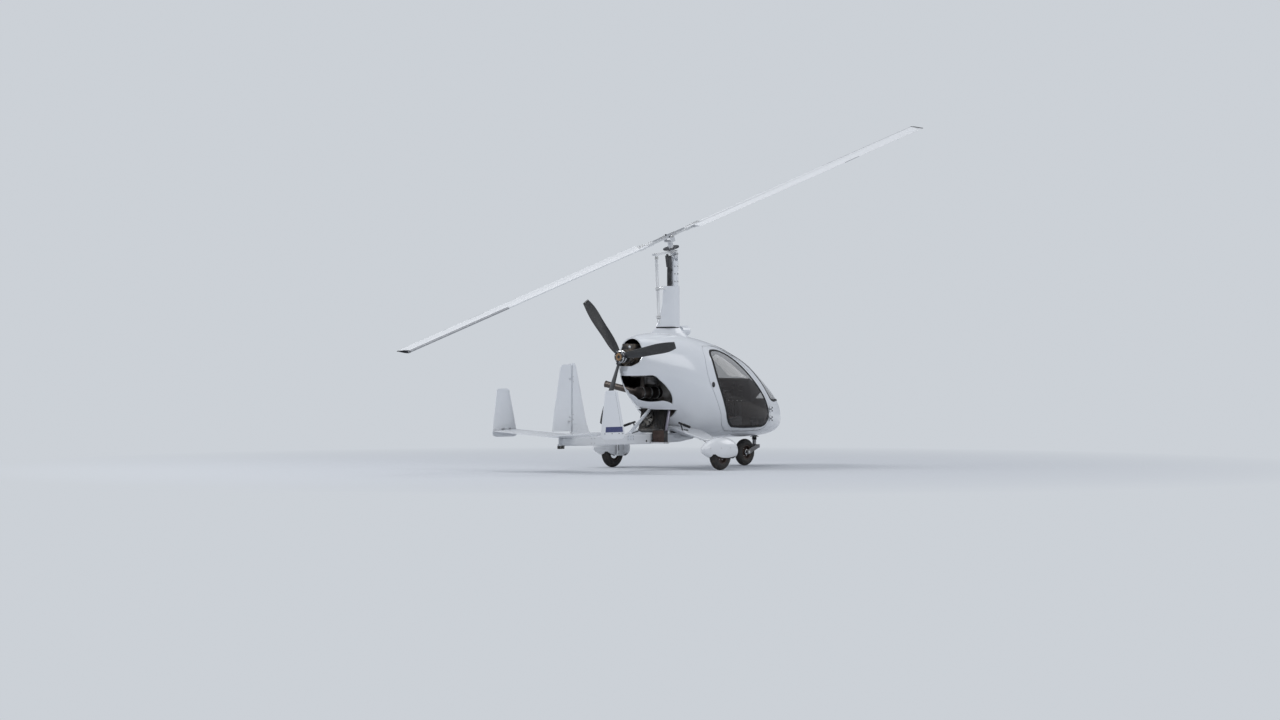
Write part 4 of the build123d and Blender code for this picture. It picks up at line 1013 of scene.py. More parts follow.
for side, bank in SIDES:
    for label, x in (("rear", -0.448), ("front", -0.242)):
        profile = []
        for step in range(8):
            base = FIN_START + step * FIN_PITCH
            profile += [(FIN_FOOT, base), (FIN_EDGE, base + 0.8), (FIN_EDGE, base + 3),
                (FIN_FOOT, base + 4)]
        turned("barrel_fins_%s_%s" % (label, bank), profile, (x, 0, CRANK_Z), (0, side, 0),
            engine_black, steps=48, angle=20)
        cover = [(0, 266.5), (38, 266.5), (46, 265.5), (52, 262), (59.5, 258), (60.5, 252),
            (60.5, 236), (64, 234.5), (64, 230.2)]
        turned("rocker_cover_%s_%s" % (label, bank), cover, (x, 0, CRANK_Z), (0, side, 0),
            engine_black, steps=48, angle=30)
        bolts("cover_bolts_%s_%s" % (label, bank), [((x + COVER_BOLT_REACH * math.cos(a),
            side * COVER_FACE, CRANK_Z + COVER_BOLT_REACH * math.sin(a)), (0, side, 0))
            for a in COVER_BOLT_ANGLES], 0.011)
        for index in range(5):
            z = 1.1225 + index * 0.0315
            box_piece("head_rib_%s_%s_%d" % (label, bank, index),
                (x - 0.086, side * 0.188, z - 0.0018), (x + 0.086, side * 0.236, z + 0.0018),
                engine_black, 0.0008, 1)
        turned("intake_clamp_%s_%s" % (label, bank), [(24.2, -6), (26.2, -5), (26.2, 5),
            (24.2, 6)], (x, side * 0.12, INTAKE_Z), (0, 1, 0), bolt_steel, steps=32)
        for mark, shift in (("a", -0.045), ("b", 0.045)):
            turned("plug_cap_%s_%s_%s" % (label, bank, mark),
                [(0, 0), (8.5, 0), (8.5, 20), (7, 22), (7, 34), (5, 37), (0, 37)],
                (x + shift, side * 0.212, 1.26), (0, side * 0.25, 1), black_nylon, steps=20)
bolts("case_bolts", side_spots((-0.545, -0.345, -0.135), 0.1055, (1.105, 1.272)), 0.015)
turned("plenum_cap", [(0, 0), (30, 0), (47, 4), (53.5, 10), (53.5, 20), (52.5, 21)],
    (-0.4945, 0, INTAKE_Z), (1, 0, 0), engine_black)
turned("plenum_band", [(52.2, -8), (54, -6.5), (54, 6.5), (52.2, 8)], (-0.255, 0, INTAKE_Z),
    (1, 0, 0), bolt_steel)
turned("sump_rib", [(95.2, 0), (99, 2), (99, 8), (95.2, 10), (95.2, 30), (99, 32), (99, 38),
    (95.2, 40)], (-0.33, 0, 1.02), (0, 0, 1), cast_grey, angle=25)

# Engine mount. Four black powder-coated tubes run from rubber bushes on the firewall to
# the crankcase.
skin("engine_mount", engine_black)
for side, label in SIDES:
    for level, z in (("low", 0.715), ("high", 1.376)):
        turned("mount_foot_%s_%s" % (level, label), [(0, 0), (26, 0), (28, 3), (28, 10), (20, 13),
            (12.5, 20), (0, 20)], (-0.052, side * 0.2125, z), (-1, 0, 0), black_nylon, steps=28)

# Reduction gearbox. A dark cast housing on the engine's tail end with a ring of bolts, a
# starter on top, and the bright output flange that carries the propeller.
gear_dark = worn_finish("gearbox_dark", (0.058, 0.056, 0.056), (0.16, 0.125, 0.09), (17, 5, 0.7),
    (0.52, 0.2), (0.25, 0.35), 0.55, grain=(240, 3, 0.2, 0.0006))
skin("gearbox", gear_dark, bevel=0.0025)
SHAFT_Z = 1.324
BACK = (-1, 0, 0)
turned("gearbox_flange", [(92.5, 0), (99, 1), (100.5, 3), (100.5, 11), (99, 13), (92.5, 14)],
    (-0.742, 0, SHAFT_Z), BACK, gear_dark, steps=60)
bolts("gearbox_bolts", bolt_circle((-0.7555, 0, SHAFT_Z), BACK, 0.0965, 12, 0.2), 0.009)
turned("gearbox_nose", [(92.5, 0), (88, 6), (70, 8.5), (55, 9), (50.5, 11.5), (40.5, 12)],
    (-0.7995, 0, SHAFT_Z), BACK, gear_dark, steps=60)
RIB_REACH = 0.074
for index in range(8):
    a = math.pi * index / 4
    middle = (-0.804, RIB_REACH * math.cos(a), SHAFT_Z + RIB_REACH * math.sin(a))
    bpy.ops.mesh.primitive_cube_add(size=1, location=middle)
    rib = bpy.context.object
    rib.scale = (0.007, 0.03, 0.0035)
    rib.rotation_euler = (a, 0, 0)
    soften(rib, 0.001, 1)
    settle(rib, "gearbox_rib_%d" % index, gear_dark)
turned("starter_body", [(0, 0), (30, 0), (33, 4), (33, 60), (30, 64), (30, 100), (26, 104),
    (0, 104)], (-0.7635, 0.022, 1.428), (1, 0, 0), engine_black, steps=40)
turned("starter_solenoid", [(0, 0), (17, 0), (18.5, 3), (18.5, 70), (15, 73), (0, 73)],
    (-0.7625, -0.038, 1.44), (1, 0, 0), polished, steps=32)

# Propeller. Three composite blades with a twist, plain black, are clamped in a black hub
# between two bright plates, with a bronze ring and a bolt circle on its rear face.
prop_black = worn_finish("prop_black", (0.02, 0.02, 0.021), (0.06, 0.059, 0.058), (65, 4),
    (0.66, 0.1), (0.18, 0.3), Coat_Weight=0.3)
skin("propeller_blades", prop_black, angle=50)
skin("propeller_hub", prop_black, bevel=0.004)
brass_ring = worn_finish("bronze_ring", (0.45, 0.28, 0.15), (0.3, 0.19, 0.12), (60, 4), None,
    (0.2, 0.3), 1.0)
turned("hub_cap_ring", [(20, 0), (20, 6), (24, 9.5), (40, 9.5), (44, 6), (45, 0)],
    (-0.9055, 0, SHAFT_Z), BACK, brass_ring, steps=48, body="propeller")
for name, x, thick in (("hub_back_plate", -0.846, 12), ("hub_front_plate", -0.896, 10)):
    turned(name, [(68.5, 0), (71, 1), (72.5, 3), (72.5, thick - 3), (71, thick - 1),
        (68.5, thick)], (x, 0, SHAFT_Z), BACK, polished, steps=60, body="propeller")
bolts("hub_bolts", bolt_circle((-0.9065, 0, SHAFT_Z), BACK, 0.056, 6, 0.3), 0.012,
    body="propeller")
BLADES_X, CUFF_REACH = -0.876, 0.052
for index, turn_deg in enumerate((80, 200, 320)):
    a = math.radians(turn_deg)
    way = Vector((0, -math.sin(a), math.cos(a)))
    place = Vector((BLADES_X, 0, SHAFT_Z)) + way * CUFF_REACH
    turned("blade_cuff_%d" % index, [(31, 0), (34, 3), (34, 14), (31, 18), (29.5, 34), (31, 40),
        (29, 44)], place, way, head_dark, steps=40, body="propeller")

# Exhaust. The muffler is a welded stainless can, browned by heat, with straps; the short
# tailpipe leaves through the left of the tail opening.
exhaust_steel = Finish("exhaust_steel", (0.12, 0.1, 0.085), 0.42, 0.85)
heat = exhaust_steel.noise(6, 4)
scale_spots = exhaust_steel.noise(120, 4, roughness=0.7)
exhaust_steel.set("Base Color", exhaust_steel.mix(heat,
    exhaust_steel.mix(scale_spots.above(0.6, 0.2), (0.13, 0.105, 0.085), (0.055, 0.034, 0.024)),
    (0.075, 0.072, 0.075)))
exhaust_steel.set("Roughness", scale_spots * 0.4 + 0.25)
exhaust_steel.bump(scale_spots, 0.12, 0.0004)
skin("exhaust", exhaust_steel, bevel=0.004)
MUFFLER_Z, CAN_RADIUS = 0.9, 68.2
for index, x in enumerate((-0.245, -0.375, -0.505)):
    turned("muffler_strap_%d" % index, [(CAN_RADIUS, -10), (70.5, -9), (70.5, 9),
        (CAN_RADIUS, 10)], (x, 0, MUFFLER_Z), (1, 0, 0), bolt_steel)
turned("muffler_seam", [(CAN_RADIUS, -3), (71.2, -1), (71.2, 1), (CAN_RADIUS, 3)],
    (-0.552, 0, MUFFLER_Z), (1, 0, 0), exhaust_steel)
PIPE_START = Vector((-0.52, 0.03, 0.905))
PIPE_END = Vector((-0.64, 0.43, 1.0))
tail_way = PIPE_END - PIPE_START
turned("tailpipe_lip", [(33.5, -8), (40, -8), (41.5, -4), (39.5, 1), (34.5, 1)], PIPE_END,
    tail_way, exhaust_steel)

# Radiator. A finned alloy core in a black frame stands behind the gear bow, with a bright
# header tank at its right end.
def fin_lines_with_painted_gap_shade(name, colour, dark, turn_angle, pitch):
    """Fine fins as lines of their colour, with darker lines of painted shade in the gaps between
    them, and a bump that follows them.
    """
    finish = Finish(name, colour, 0.45, 0.7)
    place = finish.place((1, 1, 1), (0, turn_angle, 0))
    lines = finish.out(finish.node("TexWave", {"bands_direction": "Z", "wave_profile": "TRI"},
        Vector=place, Scale=pitch, Distortion=0.0), "Fac")
    grime = finish.noise(20, 4)
    # Painted shade: the dark colour, with grime mixed into it, fills the gaps between the fins.
    finish.set("Base Color", finish.mix(lines.above(0.5, 0.5),
        finish.mix(grime.above(0.5, 0.3), dark, (0.05, 0.04, 0.03)), colour))
    finish.set("Roughness", grime * 0.4 + 0.3)
    finish.bump(lines, 0.8, 0.002)
    return finish


CORE_LEAN, CORE_RISE = 0.065, 0.265
# The core's second, darker colour is painted shade in the gaps between its fins.
core_fins = fin_lines_with_painted_gap_shade("radiator_core", (0.045, 0.045, 0.047), (0.01, 0.01, 0.011),
    -math.atan2(CORE_LEAN, CORE_RISE), 38)
skin("radiator", core_fins, bevel=0.003)
SLANT = Vector((CORE_LEAN, 0, CORE_RISE)).normalized()
NORMAL = Vector((-CORE_RISE, 0, CORE_LEAN)).normalized()
CORE_FOOT = Vector((-0.33, 0, 0.455))
frame_black = worn_finish("frame_black", (0.018, 0.018, 0.019), (0.13, 0.115, 0.095), (18, 5),
    (0.58, 0.2), (0.25, 0.4))
for label, low_end, high_end in (("bottom", -0.004, 0.018), ("top", 0.252, 0.272)):
    rings = [[CORE_FOOT + SLANT * s + NORMAL * n + ACROSS * y
        for s, n in ((low_end, 0.005), (high_end, 0.005), (high_end, -0.004), (low_end, -0.004))]
        for y in (-0.192, 0.192)]
    plate_between("radiator_rail_" + label, rings, frame_black, 0)
for index in range(9):
    y = -0.172 + index * 0.043
    rings = [[CORE_FOOT + SLANT * s + NORMAL * n + ACROSS * (y + w)
        for n, w in ((0.0, -0.0025), (0.0028, -0.0025), (0.0028, 0.0025), (0.0, 0.0025))]
        for s in (0.018, 0.252)]
    plate_between("radiator_tube_%d" % index, rings, core_fins, 0)
tank_silver = worn_finish("tank_silver", (0.38, 0.36, 0.43), (0.25, 0.23, 0.27), (30, 4), None,
    (0.22, 0.3), 0.8)
rod_piece("header_tank", (-0.3005, -0.207, 0.438), (-0.2375, -0.207, 0.698), 0.0195, tank_silver,
    32, 0.004)
fan_centre = CORE_FOOT + SLANT * 0.138 + NORMAL * 0.006 + ACROSS * 0.075
turned("fan_shroud", [(92, 0), (96, 2), (96, 16), (92, 18), (89, 16), (89, 2), (92, 0)],
    fan_centre, NORMAL, frame_black, steps=60)
turned("fan_hub", [(0, 14), (20, 14), (26, 11), (27, 2), (0, 2)], fan_centre, NORMAL, frame_black,
    steps=32)
for index in range(7):
    a = 2 * math.pi * index / 7
    out_way = SLANT * math.cos(a) + ACROSS * math.sin(a)
    side_way = ACROSS * math.cos(a) - SLANT * math.sin(a)
    rings = []
    for reach, half in ((0.024, 0.014), (0.086, 0.022)):
        rings.append([fan_centre + out_way * reach + side_way * (half * edge) + NORMAL * lift
            for edge, lift in ((1, 0.004), (1, 0.006), (-1, 0.012), (-1, 0.01))])
    plate_between("fan_blade_%d" % index, rings, frame_black, 0)

# Oil cooler. A small dark core between two black end tanks stands below the radiator,
# on a bright folded tray.
# The cooler core's second, darker colour is painted shade in the gaps between its fins.
cooler_fins = fin_lines_with_painted_gap_shade("oil_cooler_core", (0.085, 0.055, 0.05), (0.02, 0.012, 0.011), 0,
    60)
skin("oil_cooler", cooler_fins, bevel=0.0015)
tray_bright = worn_finish("tray_bright", (0.74, 0.74, 0.75), (0.45, 0.42, 0.38), (25, 4),
    (0.6, 0.2), (0.2, 0.35), 0.8)
TRAY_REAR, TRAY_FRONT, TRAY_RIGHT, TRAY_LEFT = -0.41, -0.32, -0.272, -0.069
TRAY_FOOT, TRAY_LIP, SHEET, LAP = 0.3065, 0.3228, 0.0022, 0.0002
for name, low, high in (
        ("right", (TRAY_REAR + LAP, TRAY_RIGHT - LAP, TRAY_FOOT),
         (TRAY_FRONT - LAP, TRAY_RIGHT + SHEET, TRAY_LIP)),
        ("rear", (TRAY_REAR, TRAY_RIGHT, TRAY_FOOT), (TRAY_REAR + SHEET, TRAY_LEFT, TRAY_LIP)),
        ("front", (TRAY_FRONT - SHEET, TRAY_RIGHT, TRAY_FOOT), (TRAY_FRONT, TRAY_LEFT, TRAY_LIP)),
        ("under", (TRAY_REAR + 0.0005, TRAY_RIGHT + LAP, TRAY_FOOT - 0.0003),
         (TRAY_FRONT - 0.0005, TRAY_LEFT + LAP, TRAY_FOOT + 0.0018))):
    box_piece("cooler_tray_" + name, low, high, tray_bright, 0.0006, 1)
for label, y in (("right", -0.262), ("left", -0.0815)):
    box_piece("cooler_end_" + label, (-0.3955, y - 0.0045, 0.3215), (-0.3345, y + 0.0045, 0.4595),
        frame_black, 0.0015)

# Tail boom and strut. The boom is a tapered composite box with a dark skid shoe under
# its end; a round tube strut runs from it up into the pod's keel. All are painted white.
skin("tail_boom", tail_white)
skin("boom_brace", mast_paint)
shoe_dark = worn_finish("shoe_dark", (0.04, 0.038, 0.036), (0.2, 0.18, 0.15), (45, 4),
    (0.58, 0.15), (0.35, 0.4), 0.3)
box_piece("skid_shoe", (-1.992, -0.0155, 0.2755), (-1.896, 0.0155, 0.312), shoe_dark, 0.004)
box_piece("skid_strap", (-1.9435, -0.042, 0.309), (-1.925, 0.042, 0.313), shoe_dark, 0.001)
bolts("skid_bolts", side_spots((-1.977, -1.912), 0.0157, (0.299,)), 0.01)


def boom_half(x):
    """Half the boom's width at a place along it, in metres."""
    return float(np.interp(x, (-1.94, -1.5, -0.4), (0.04, 0.048, 0.052)))


rod_piece("strut_collar", (-0.724, 0, 0.4215), (-0.702, 0, 0.4366), 0.0232, mast_paint, 32, 0.001)
for side, label in SIDES:
    y = side * boom_half(-0.74)
    box_piece("strut_plate_" + label, (-0.815, y - side * 0.001, 0.352),
        (-0.69, y + side * 0.0022, 0.408), mast_paint, 0.0009, 1)
    bolts("strut_plate_bolts_" + label, side_spots((-0.8, -0.7525, -0.705),
        boom_half(-0.74) + 0.002, (0.363, 0.397), (side,)), 0.01)
    y = side * boom_half(-0.467)
    turned("boom_grommet_" + label, [(0, 0.5), (6, 0.5), (6.8, 2), (11, 2.4), (12.5, 1),
        (12.8, -1)], (-0.467, y, 0.335), (0, side, 0), black_nylon, steps=28)
    for index, x in enumerate((-1.46, -1.4)):
        bolts("fin_root_bolts_%s_%d" % (label, index),
            side_spots((x,), boom_half(x) + 0.0002, (0.33, 0.385), (side,)), 0.01)

# Stabiliser and fins. Moulded glass fibre surfaces with joint lines along their noses,
# screws, and a hinged rudder with a horn on each side. The right fin has a plain dark band.
for node in ("stabilizer", "fin_left", "fin_right", "fin_center", "rudder"):
    skin(node, tail_white, angle=28)
seam_grey = worn_finish("seam_grey", (0.2, 0.21, 0.22), None, (90, 2), None, (0.45, 0.3))


def surface_points(node, way, path, lift=0.0003):
    """Places where rays one way meet a node, moved out by lift, each facing the ray."""
    way = Vector(way)
    met = [surface_of(node).hit(Vector(place) - way * 0.5, way) for place in path]
    return [(one[0] - way * lift, -way) for one in met if one is not None]


def patch_on(name, node, way, corners, finish, lift=0.0006, steps=14, body="airframe"):
    """A thin patch that lies on a node's surface: corners go round it in order."""
    surface = surface_of(node)
    way = Vector(way)
    mesh = bmesh.new()
    rows = []
    one, two, three, four = [Vector(corner) for corner in corners]
    for row in range(steps + 1):
        first = one.lerp(four, row / steps)
        second = two.lerp(three, row / steps)
        line = []
        for column in range(steps + 1):
            place = first.lerp(second, column / steps)
            met = surface.hit(place - way * 0.6, way)
            line.append(mesh.verts.new((met[0] if met else place) - way * lift))
        rows.append(line)
    for low_row, high_row in zip(rows, rows[1:]):
        for column in range(steps):
            mesh.faces.new((low_row[column], low_row[column + 1], high_row[column + 1],
                high_row[column]))
    mesh.normal_update()
    if sum((face.normal for face in mesh.faces), Vector()).dot(way) > 0:
        bmesh.ops.reverse_faces(mesh, faces=mesh.faces)
    piece = from_bmesh(name, mesh)
    thick = piece.modifiers.new("thick", "SOLIDIFY")
    thick.thickness = lift * 1.6
    thick.offset = -1
    return settle(piece, name, finish, body, 50)


# Rays that look in at the end fins and the spats start this far out.
OUTSIDE = 0.9
band_blue = worn_finish("band_blue", (0.045, 0.055, 0.16), (0.2, 0.22, 0.3), (120, 4), (0.66, 0.1),
    (0.2, 0.25))
patch_on("fin_band", "fin_right", (0, 1, 0), ((-2.13, -0.824, 0.484), (-1.826, -0.824, 0.484),
    (-1.836, -0.824, 0.546), (-2.122, -0.824, 0.546)), band_blue)
for side, label in SIDES:
    inwards = (0, -side, 0)
    bolts("fin_screws_" + label, surface_points("fin_" + label, inwards,
        [(x, side * OUTSIDE, 0.468) for x in (-2.14, -2.02, -1.9, -1.83)]), 0.011, seam_grey)
    patch_on("fin_seam_" + label, "fin_" + label, inwards,
        ((-1.845, side * OUTSIDE, 0.455), (-1.842, side * OUTSIDE, 0.455),
        (-1.962, side * OUTSIDE, 0.94), (-1.965, side * OUTSIDE, 0.94)), seam_grey, 0.0004, 10)
    patch_on("center_seam_" + label, "fin_center", inwards,
        ((-1.7625, side * 0.3, 0.47), (-1.7595, side * 0.3, 0.47), (-1.7595, side * 0.3, 1.24),
        (-1.7625, side * 0.3, 1.24)), seam_grey, 0.0005, 12)
    bolts("center_screws_" + label, surface_points("fin_center", inwards,
        [(-1.75, side * 0.3, z) for z in (0.61, 0.67, 1.05, 1.11)]), 0.01)
    box_piece("rudder_horn_" + label, (-1.843, side * 0.018, 0.588), (-1.811, side * 0.062, 0.592),
        bolt_steel, 0.0015, body="rudder_surface")
    bolts("horn_bolts_" + label, [((-1.827, side * y, 0.5918), (0, 0, 1)) for y in (0.054, 0.034)],
        0.008, body="rudder_surface")
for z in (0.64, 1.08):
    turned("hinge_bush_%d" % int(z * 1000), [(5.2, -26), (8.5, -26), (8.5, -24.5), (5.2, -24.5)],
        (-1.797, 0, z), (0, 0, 1), bolt_steel, steps=20)

# Main gear. A one-piece glass fibre leaf bow under the pod carries bolted axle brackets;
# moulded spats cover ribbed tyres on turned alloy rims with bolts and a brake disc.
skin("gear_bow", tail_white, angle=30)
for node in ("spat_left", "spat_right"):
    skin(node, spat_white, angle=35, fitted=True)
tyre_rubber = worn_finish("tyre_rubber", (0.018, 0.017, 0.017), (0.06, 0.049, 0.039), (24, 5, 0.7),
    (0.58, 0.3), (0.55, 0.3), grain=(350, 2, 0.2, 0.0006))
rim_dark = worn_finish("rim_dark", (0.055, 0.036, 0.032), (0.11, 0.08, 0.062), (30, 5),
    (0.55, 0.25), (0.35, 0.3), 0.5)


def ribbed_tyre(name, node, centre, radius, width, rim):
    """A tyre in place of the CAD's: round shoulders, grooves in its tread and on its walls.

    Radius, width and the rim's radius are in millimetres.
    """
    half = 0.36 * width
    crown, shoulder = (radius - 0.16 * width, half), 14
    profile = []
    for r, h in arc_through((crown[0], -half), (radius, 0), crown, 48) + [crown]:
        groove = 3.5 if abs(h) < half * 0.9 and (h / half * 2.5) % 1.0 < 0.16 else 0.0
        profile.append((r - groove - 0.4, h))
    wall = arc_through(crown, ((crown[0] + rim) / 2, 0.5 * width), (rim, half), shoulder)[1:]
    wall = [(r, h - (1.2 if 0.35 < k / shoulder < 0.5 else 0.0))
        for k, (r, h) in enumerate(wall + [(rim, half)])]
    lower = [(r, -h) for r, h in wall[::-1]]
    turned(name, lower + profile + wall + [(rim, half), (rim, -half)], centre, (0, 1, 0),
        tyre_rubber, steps=96, angle=28, body=body_of_node[node])
    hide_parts(node)


AXLE_X, AXLE_Z, WHEEL_Y = -0.051, 0.17, 0.825
BRACKET_OUTER, BRACKET_INNER = 0.7163, 0.6885
for side, label in SIDES:
    centre = Vector((AXLE_X, side * WHEEL_Y, AXLE_Z))
    body = body_of_node["tyre_" + label]
    ribbed_tyre("ribbed_tyre_" + label, "tyre_" + label, centre, 170, 100, 92)
    skin("rim_" + label, rim_dark, angle=30, bevel=0.0012)
    out = Vector((0, side, 0))
    for index, facing in enumerate((out, -out)):
        bolts("rim_bolts_%s_%d" % (label, index),
            bolt_circle(centre + facing * 0.0082, facing, 0.052, 6), 0.01, body=body)
        turned("rim_lip_%s_%d" % (label, index), [(92.5, 0), (94.5, 1.2), (94, 3), (90.5, 3.4),
            (85, 2.5), (82.5, 0)], centre + facing * 0.0348, facing, rim_dark, steps=60, body=body)
    turned("brake_disc_" + label, [(34.5, 0), (65, 0), (65.5, 0.8), (65.5, 4.2), (65, 5),
        (34.5, 5), (34, 2.5), (34.5, 0)], centre - out * 0.0205, -out, polished, steps=60,
        body=body)
    rod_piece("valve_stem_" + label, centre + out * 0.009 + Vector((0, 0, 0.066)),
        centre + out * 0.034 + Vector((0, 0, 0.069)), 0.0042, black_nylon, 14, 0.001, body=body)
    turned("axle_nut_" + label, [(0, 0), (16.5, 0), (16.5, 2), (12.5, 2.5), (12.5, 9), (10, 10),
        (0, 10)], (AXLE_X, side * 0.8872, AXLE_Z), out, bolt_steel, steps=6, angle=20)
    bolts("bracket_bolts_" + label, [((AXLE_X + dx, side * BRACKET_OUTER, z), out)
        for dx in (-0.04, 0.04) for z in (0.165, 0.215)]
        + [((AXLE_X + dx, side * BRACKET_INNER, z), -out) for dx in (-0.04, 0.04)
        for z in (0.165, 0.215, 0.295)], 0.012)
    outer_edge = [(x, side * OUTSIDE, z) for x, z in ((-0.38, 0.246), (-0.3, 0.246), (-0.2, 0.243),
        (-0.1, 0.24), (0.0, 0.238), (0.1, 0.234), (0.18, 0.23), (0.215, 0.226))]
    seam = surface_points("spat_" + label, -out, outer_edge, 0.0)
    pipe("spat_seam_" + label, [spot for spot, _ in seam], 0.0013, seam_grey, 6, 6)
    bolts("spat_screws_" + label, surface_points("spat_" + label, -out,
        [(x, side * OUTSIDE, 0.262) for x in (-0.3, -0.14, 0.02, 0.16)]), 0.009)
    line = [(-0.15, side * 0.3, 0.447), (-0.15, side * 0.48, 0.3975), (-0.145, side * 0.64, 0.352),
        (-0.12, side * 0.688, 0.318), (-0.105, side * 0.684, 0.26), (-0.1, side * 0.684, 0.2)]
    pipe("brake_line_" + label, line, 0.0032, black_nylon, 8, 10)
    for index, (y_at, z_at) in enumerate(((0.36, 0.4325), (0.5, 0.3925), (0.61, 0.361))):
        box_piece("line_clip_%s_%d" % (label, index), (-0.158, side * y_at - 0.006, z_at - 0.008),
            (-0.141, side * y_at + 0.006, z_at + 0.0015), black_nylon, 0.001, 1)
    turned("gear_hole_" + label, [(0, 0), (20, 0), (24.5, 1.5), (26, 4), (28, 4.2), (29.5, 2),
        (29.5, -3), (0, -3)], (-0.105, side * 0.352, 0.4625), (0, side * 0.27, 1), black_nylon,
        steps=36)

# Footsteps. A bent steel tube bracket under each door, painted black, with a ribbed
# rubber sleeve near its end.
skin("footsteps", frame_black)
for side, label in SIDES:
    first = Vector((-0.215, side * 0.335, 0.548))
    last = Vector((-0.215, side * 0.5, 0.5))
    way = (last - first).normalized()
    rings = []
    for index in range(9):
        base = index * 10.5
        rings += [(12.5, base), (15, base + 1.5), (15, base + 6.5), (12.5, base + 8)]
    rings += [(12.5, 98.5), (14.8, 99.5), (13.5, 103.5), (0, 104)]
    turned("step_sleeve_" + label, rings, last - way * 0.1, way, rubber, steps=28)

# Nose gear. A steering leg under the nose turns in its housing; a welded fork trails back
# to the small nose wheel.
fork_steel = worn_finish("fork_steel", (0.25, 0.25, 0.26), (0.12, 0.11, 0.1), (22, 4), (0.55, 0.3),
    (0.22, 0.35), 0.7)
skin("nose_leg", frame_black, bevel=0.002)
skin("nose_fork", fork_steel, bevel=0.003)
skin("nose_rim", rim_dark, angle=30, bevel=0.0012)
NOSE = Vector((1.415, 0, 0.16))
STEER_X, HOUSING_FOOT = 1.6, 0.3415
nose_body = body_of_node["nose_tyre"]
fork_body = body_of_node["nose_fork"]
ribbed_tyre("ribbed_nose_tyre", "nose_tyre", NOSE, 160, 90, 82)
for side, label in SIDES:
    out = Vector((0, side, 0))
    bolts("nose_rim_bolts_" + label, bolt_circle(NOSE + out * 0.0082, out, 0.048, 6), 0.009,
        body=nose_body)
    turned("nose_rim_lip_" + label, [(82.2, 0), (84.2, 1.2), (83.8, 3), (80.5, 3.4), (75, 2.5),
        (72.5, 0)], NOSE + out * 0.0316, out, rim_dark, steps=60, body=nose_body)
    turned("nose_hub_cap_" + label, [(12, 0), (29.5, 0), (29.5, 3), (26.5, 5.2), (12.5, 5.6),
        (12, 4)], NOSE + out * 0.03, out, polished, steps=40, body=nose_body)
    turned("nose_axle_nut_" + label, [(0, 0), (19, 0), (19, 2.2), (14.5, 2.5), (14.5, 11),
        (12, 12.5), (0, 12.5)], NOSE + out * 0.0662, out, bolt_steel, steps=6, angle=20,
        body=fork_body)
turned("fork_weld", [(22.5, 0), (27, 0), (26.2, 2.5), (24, 4.5), (22.5, 6.5)], (STEER_X, 0, 0.25),
    (0, 0, 1), fork_steel, steps=36, body=fork_body)
turned("leg_gaiter", [(23.5, 0), (29, 2), (29, 5), (24.5, 9), (29, 13), (29, 16), (24.5, 20),
    (29, 24), (29, 27), (24, 31), (23.5, 31)], (STEER_X, 0, 0.305), (0, 0, 1), rubber, steps=36,
    angle=60, body=fork_body)
turned("housing_flange", [(38.5, 0), (52, 0), (53, 1), (53, 5), (38.5, 5.5)],
    (STEER_X, 0, HOUSING_FOOT), (0, 0, 1), frame_black, steps=48)
bolts("housing_bolts", bolt_circle((STEER_X, 0, HOUSING_FOOT), (0, 0, -1), 0.0455, 4, 0.78), 0.008)

# Door handles and hinges. Each door has a small black pad handle, and two black hinges
# with a barrel at each end of the pin and a bright pin head.
HINGE_X, HINGE_Y = 1.224, 0.574
for side, label in SIDES:
    skin("door_handle_" + label, black_nylon)
    for index, height in enumerate((0.572, 0.684)):
        for level, shift in (("low", -0.0185), ("up", 0.0185)):
            turned("hinge_barrel_%s_%d_%s" % (label, index, level),
                [(9.2, -7.2), (9.8, -6.6), (9.8, 6.6), (9.2, 7.2)],
                (HINGE_X, side * HINGE_Y, height + shift), (0, 0, 1), black_nylon, steps=24,
                body=label + "_door")
        turned("hinge_pin_head_%s_%d" % (label, index),
            [(0, 0), (5.5, 0), (6.2, 0.8), (5.5, 2.4), (0, 2.8)],
            (HINGE_X, side * HINGE_Y, height + 0.0302), (0, 0, 1), bolt_steel, steps=20)

# Cabin trim. The floor has dark loop carpet. The firewall's front is lined with dark
# felt, and its rear with creased bright foil that soot has dulled.
carpet = Finish("carpet", (0.035, 0.035, 0.038), 0.95)
tufts = carpet.noise(420, 2)
carpet_dust = carpet.noise(9, 4)
carpet.set("Base Color", carpet.mix(tufts * 0.6 + carpet_dust * 0.25, (0.02, 0.02, 0.022),
    (0.085, 0.08, 0.078)))
carpet.set("Roughness", tufts * 0.15 + 0.8)
carpet.bump(tufts, 0.9, 0.002)
skin("cabin_floor", carpet)
foil = Finish("heat_foil", (0.42, 0.41, 0.4), 0.35, 0.85)
crease = foil.noise(38, 4, roughness=0.7)
foil_soot = foil.noise(7, 4)
inner_side = foil.axis("X").above(-0.0165, 0.001)
foil.set("Base Color", foil.mix(inner_side, foil.mix(foil_soot.above(0.5, 0.3), (0.4, 0.39, 0.38),
    (0.11, 0.095, 0.08)), (0.03, 0.03, 0.033)))
foil.set("Metallic", inner_side * -0.85 + 0.85)
foil.set("Roughness", crease * 0.4 + 0.22 + inner_side * 0.4)
foil.bump(crease, 0.5, 0.003)
skin("firewall", foil)

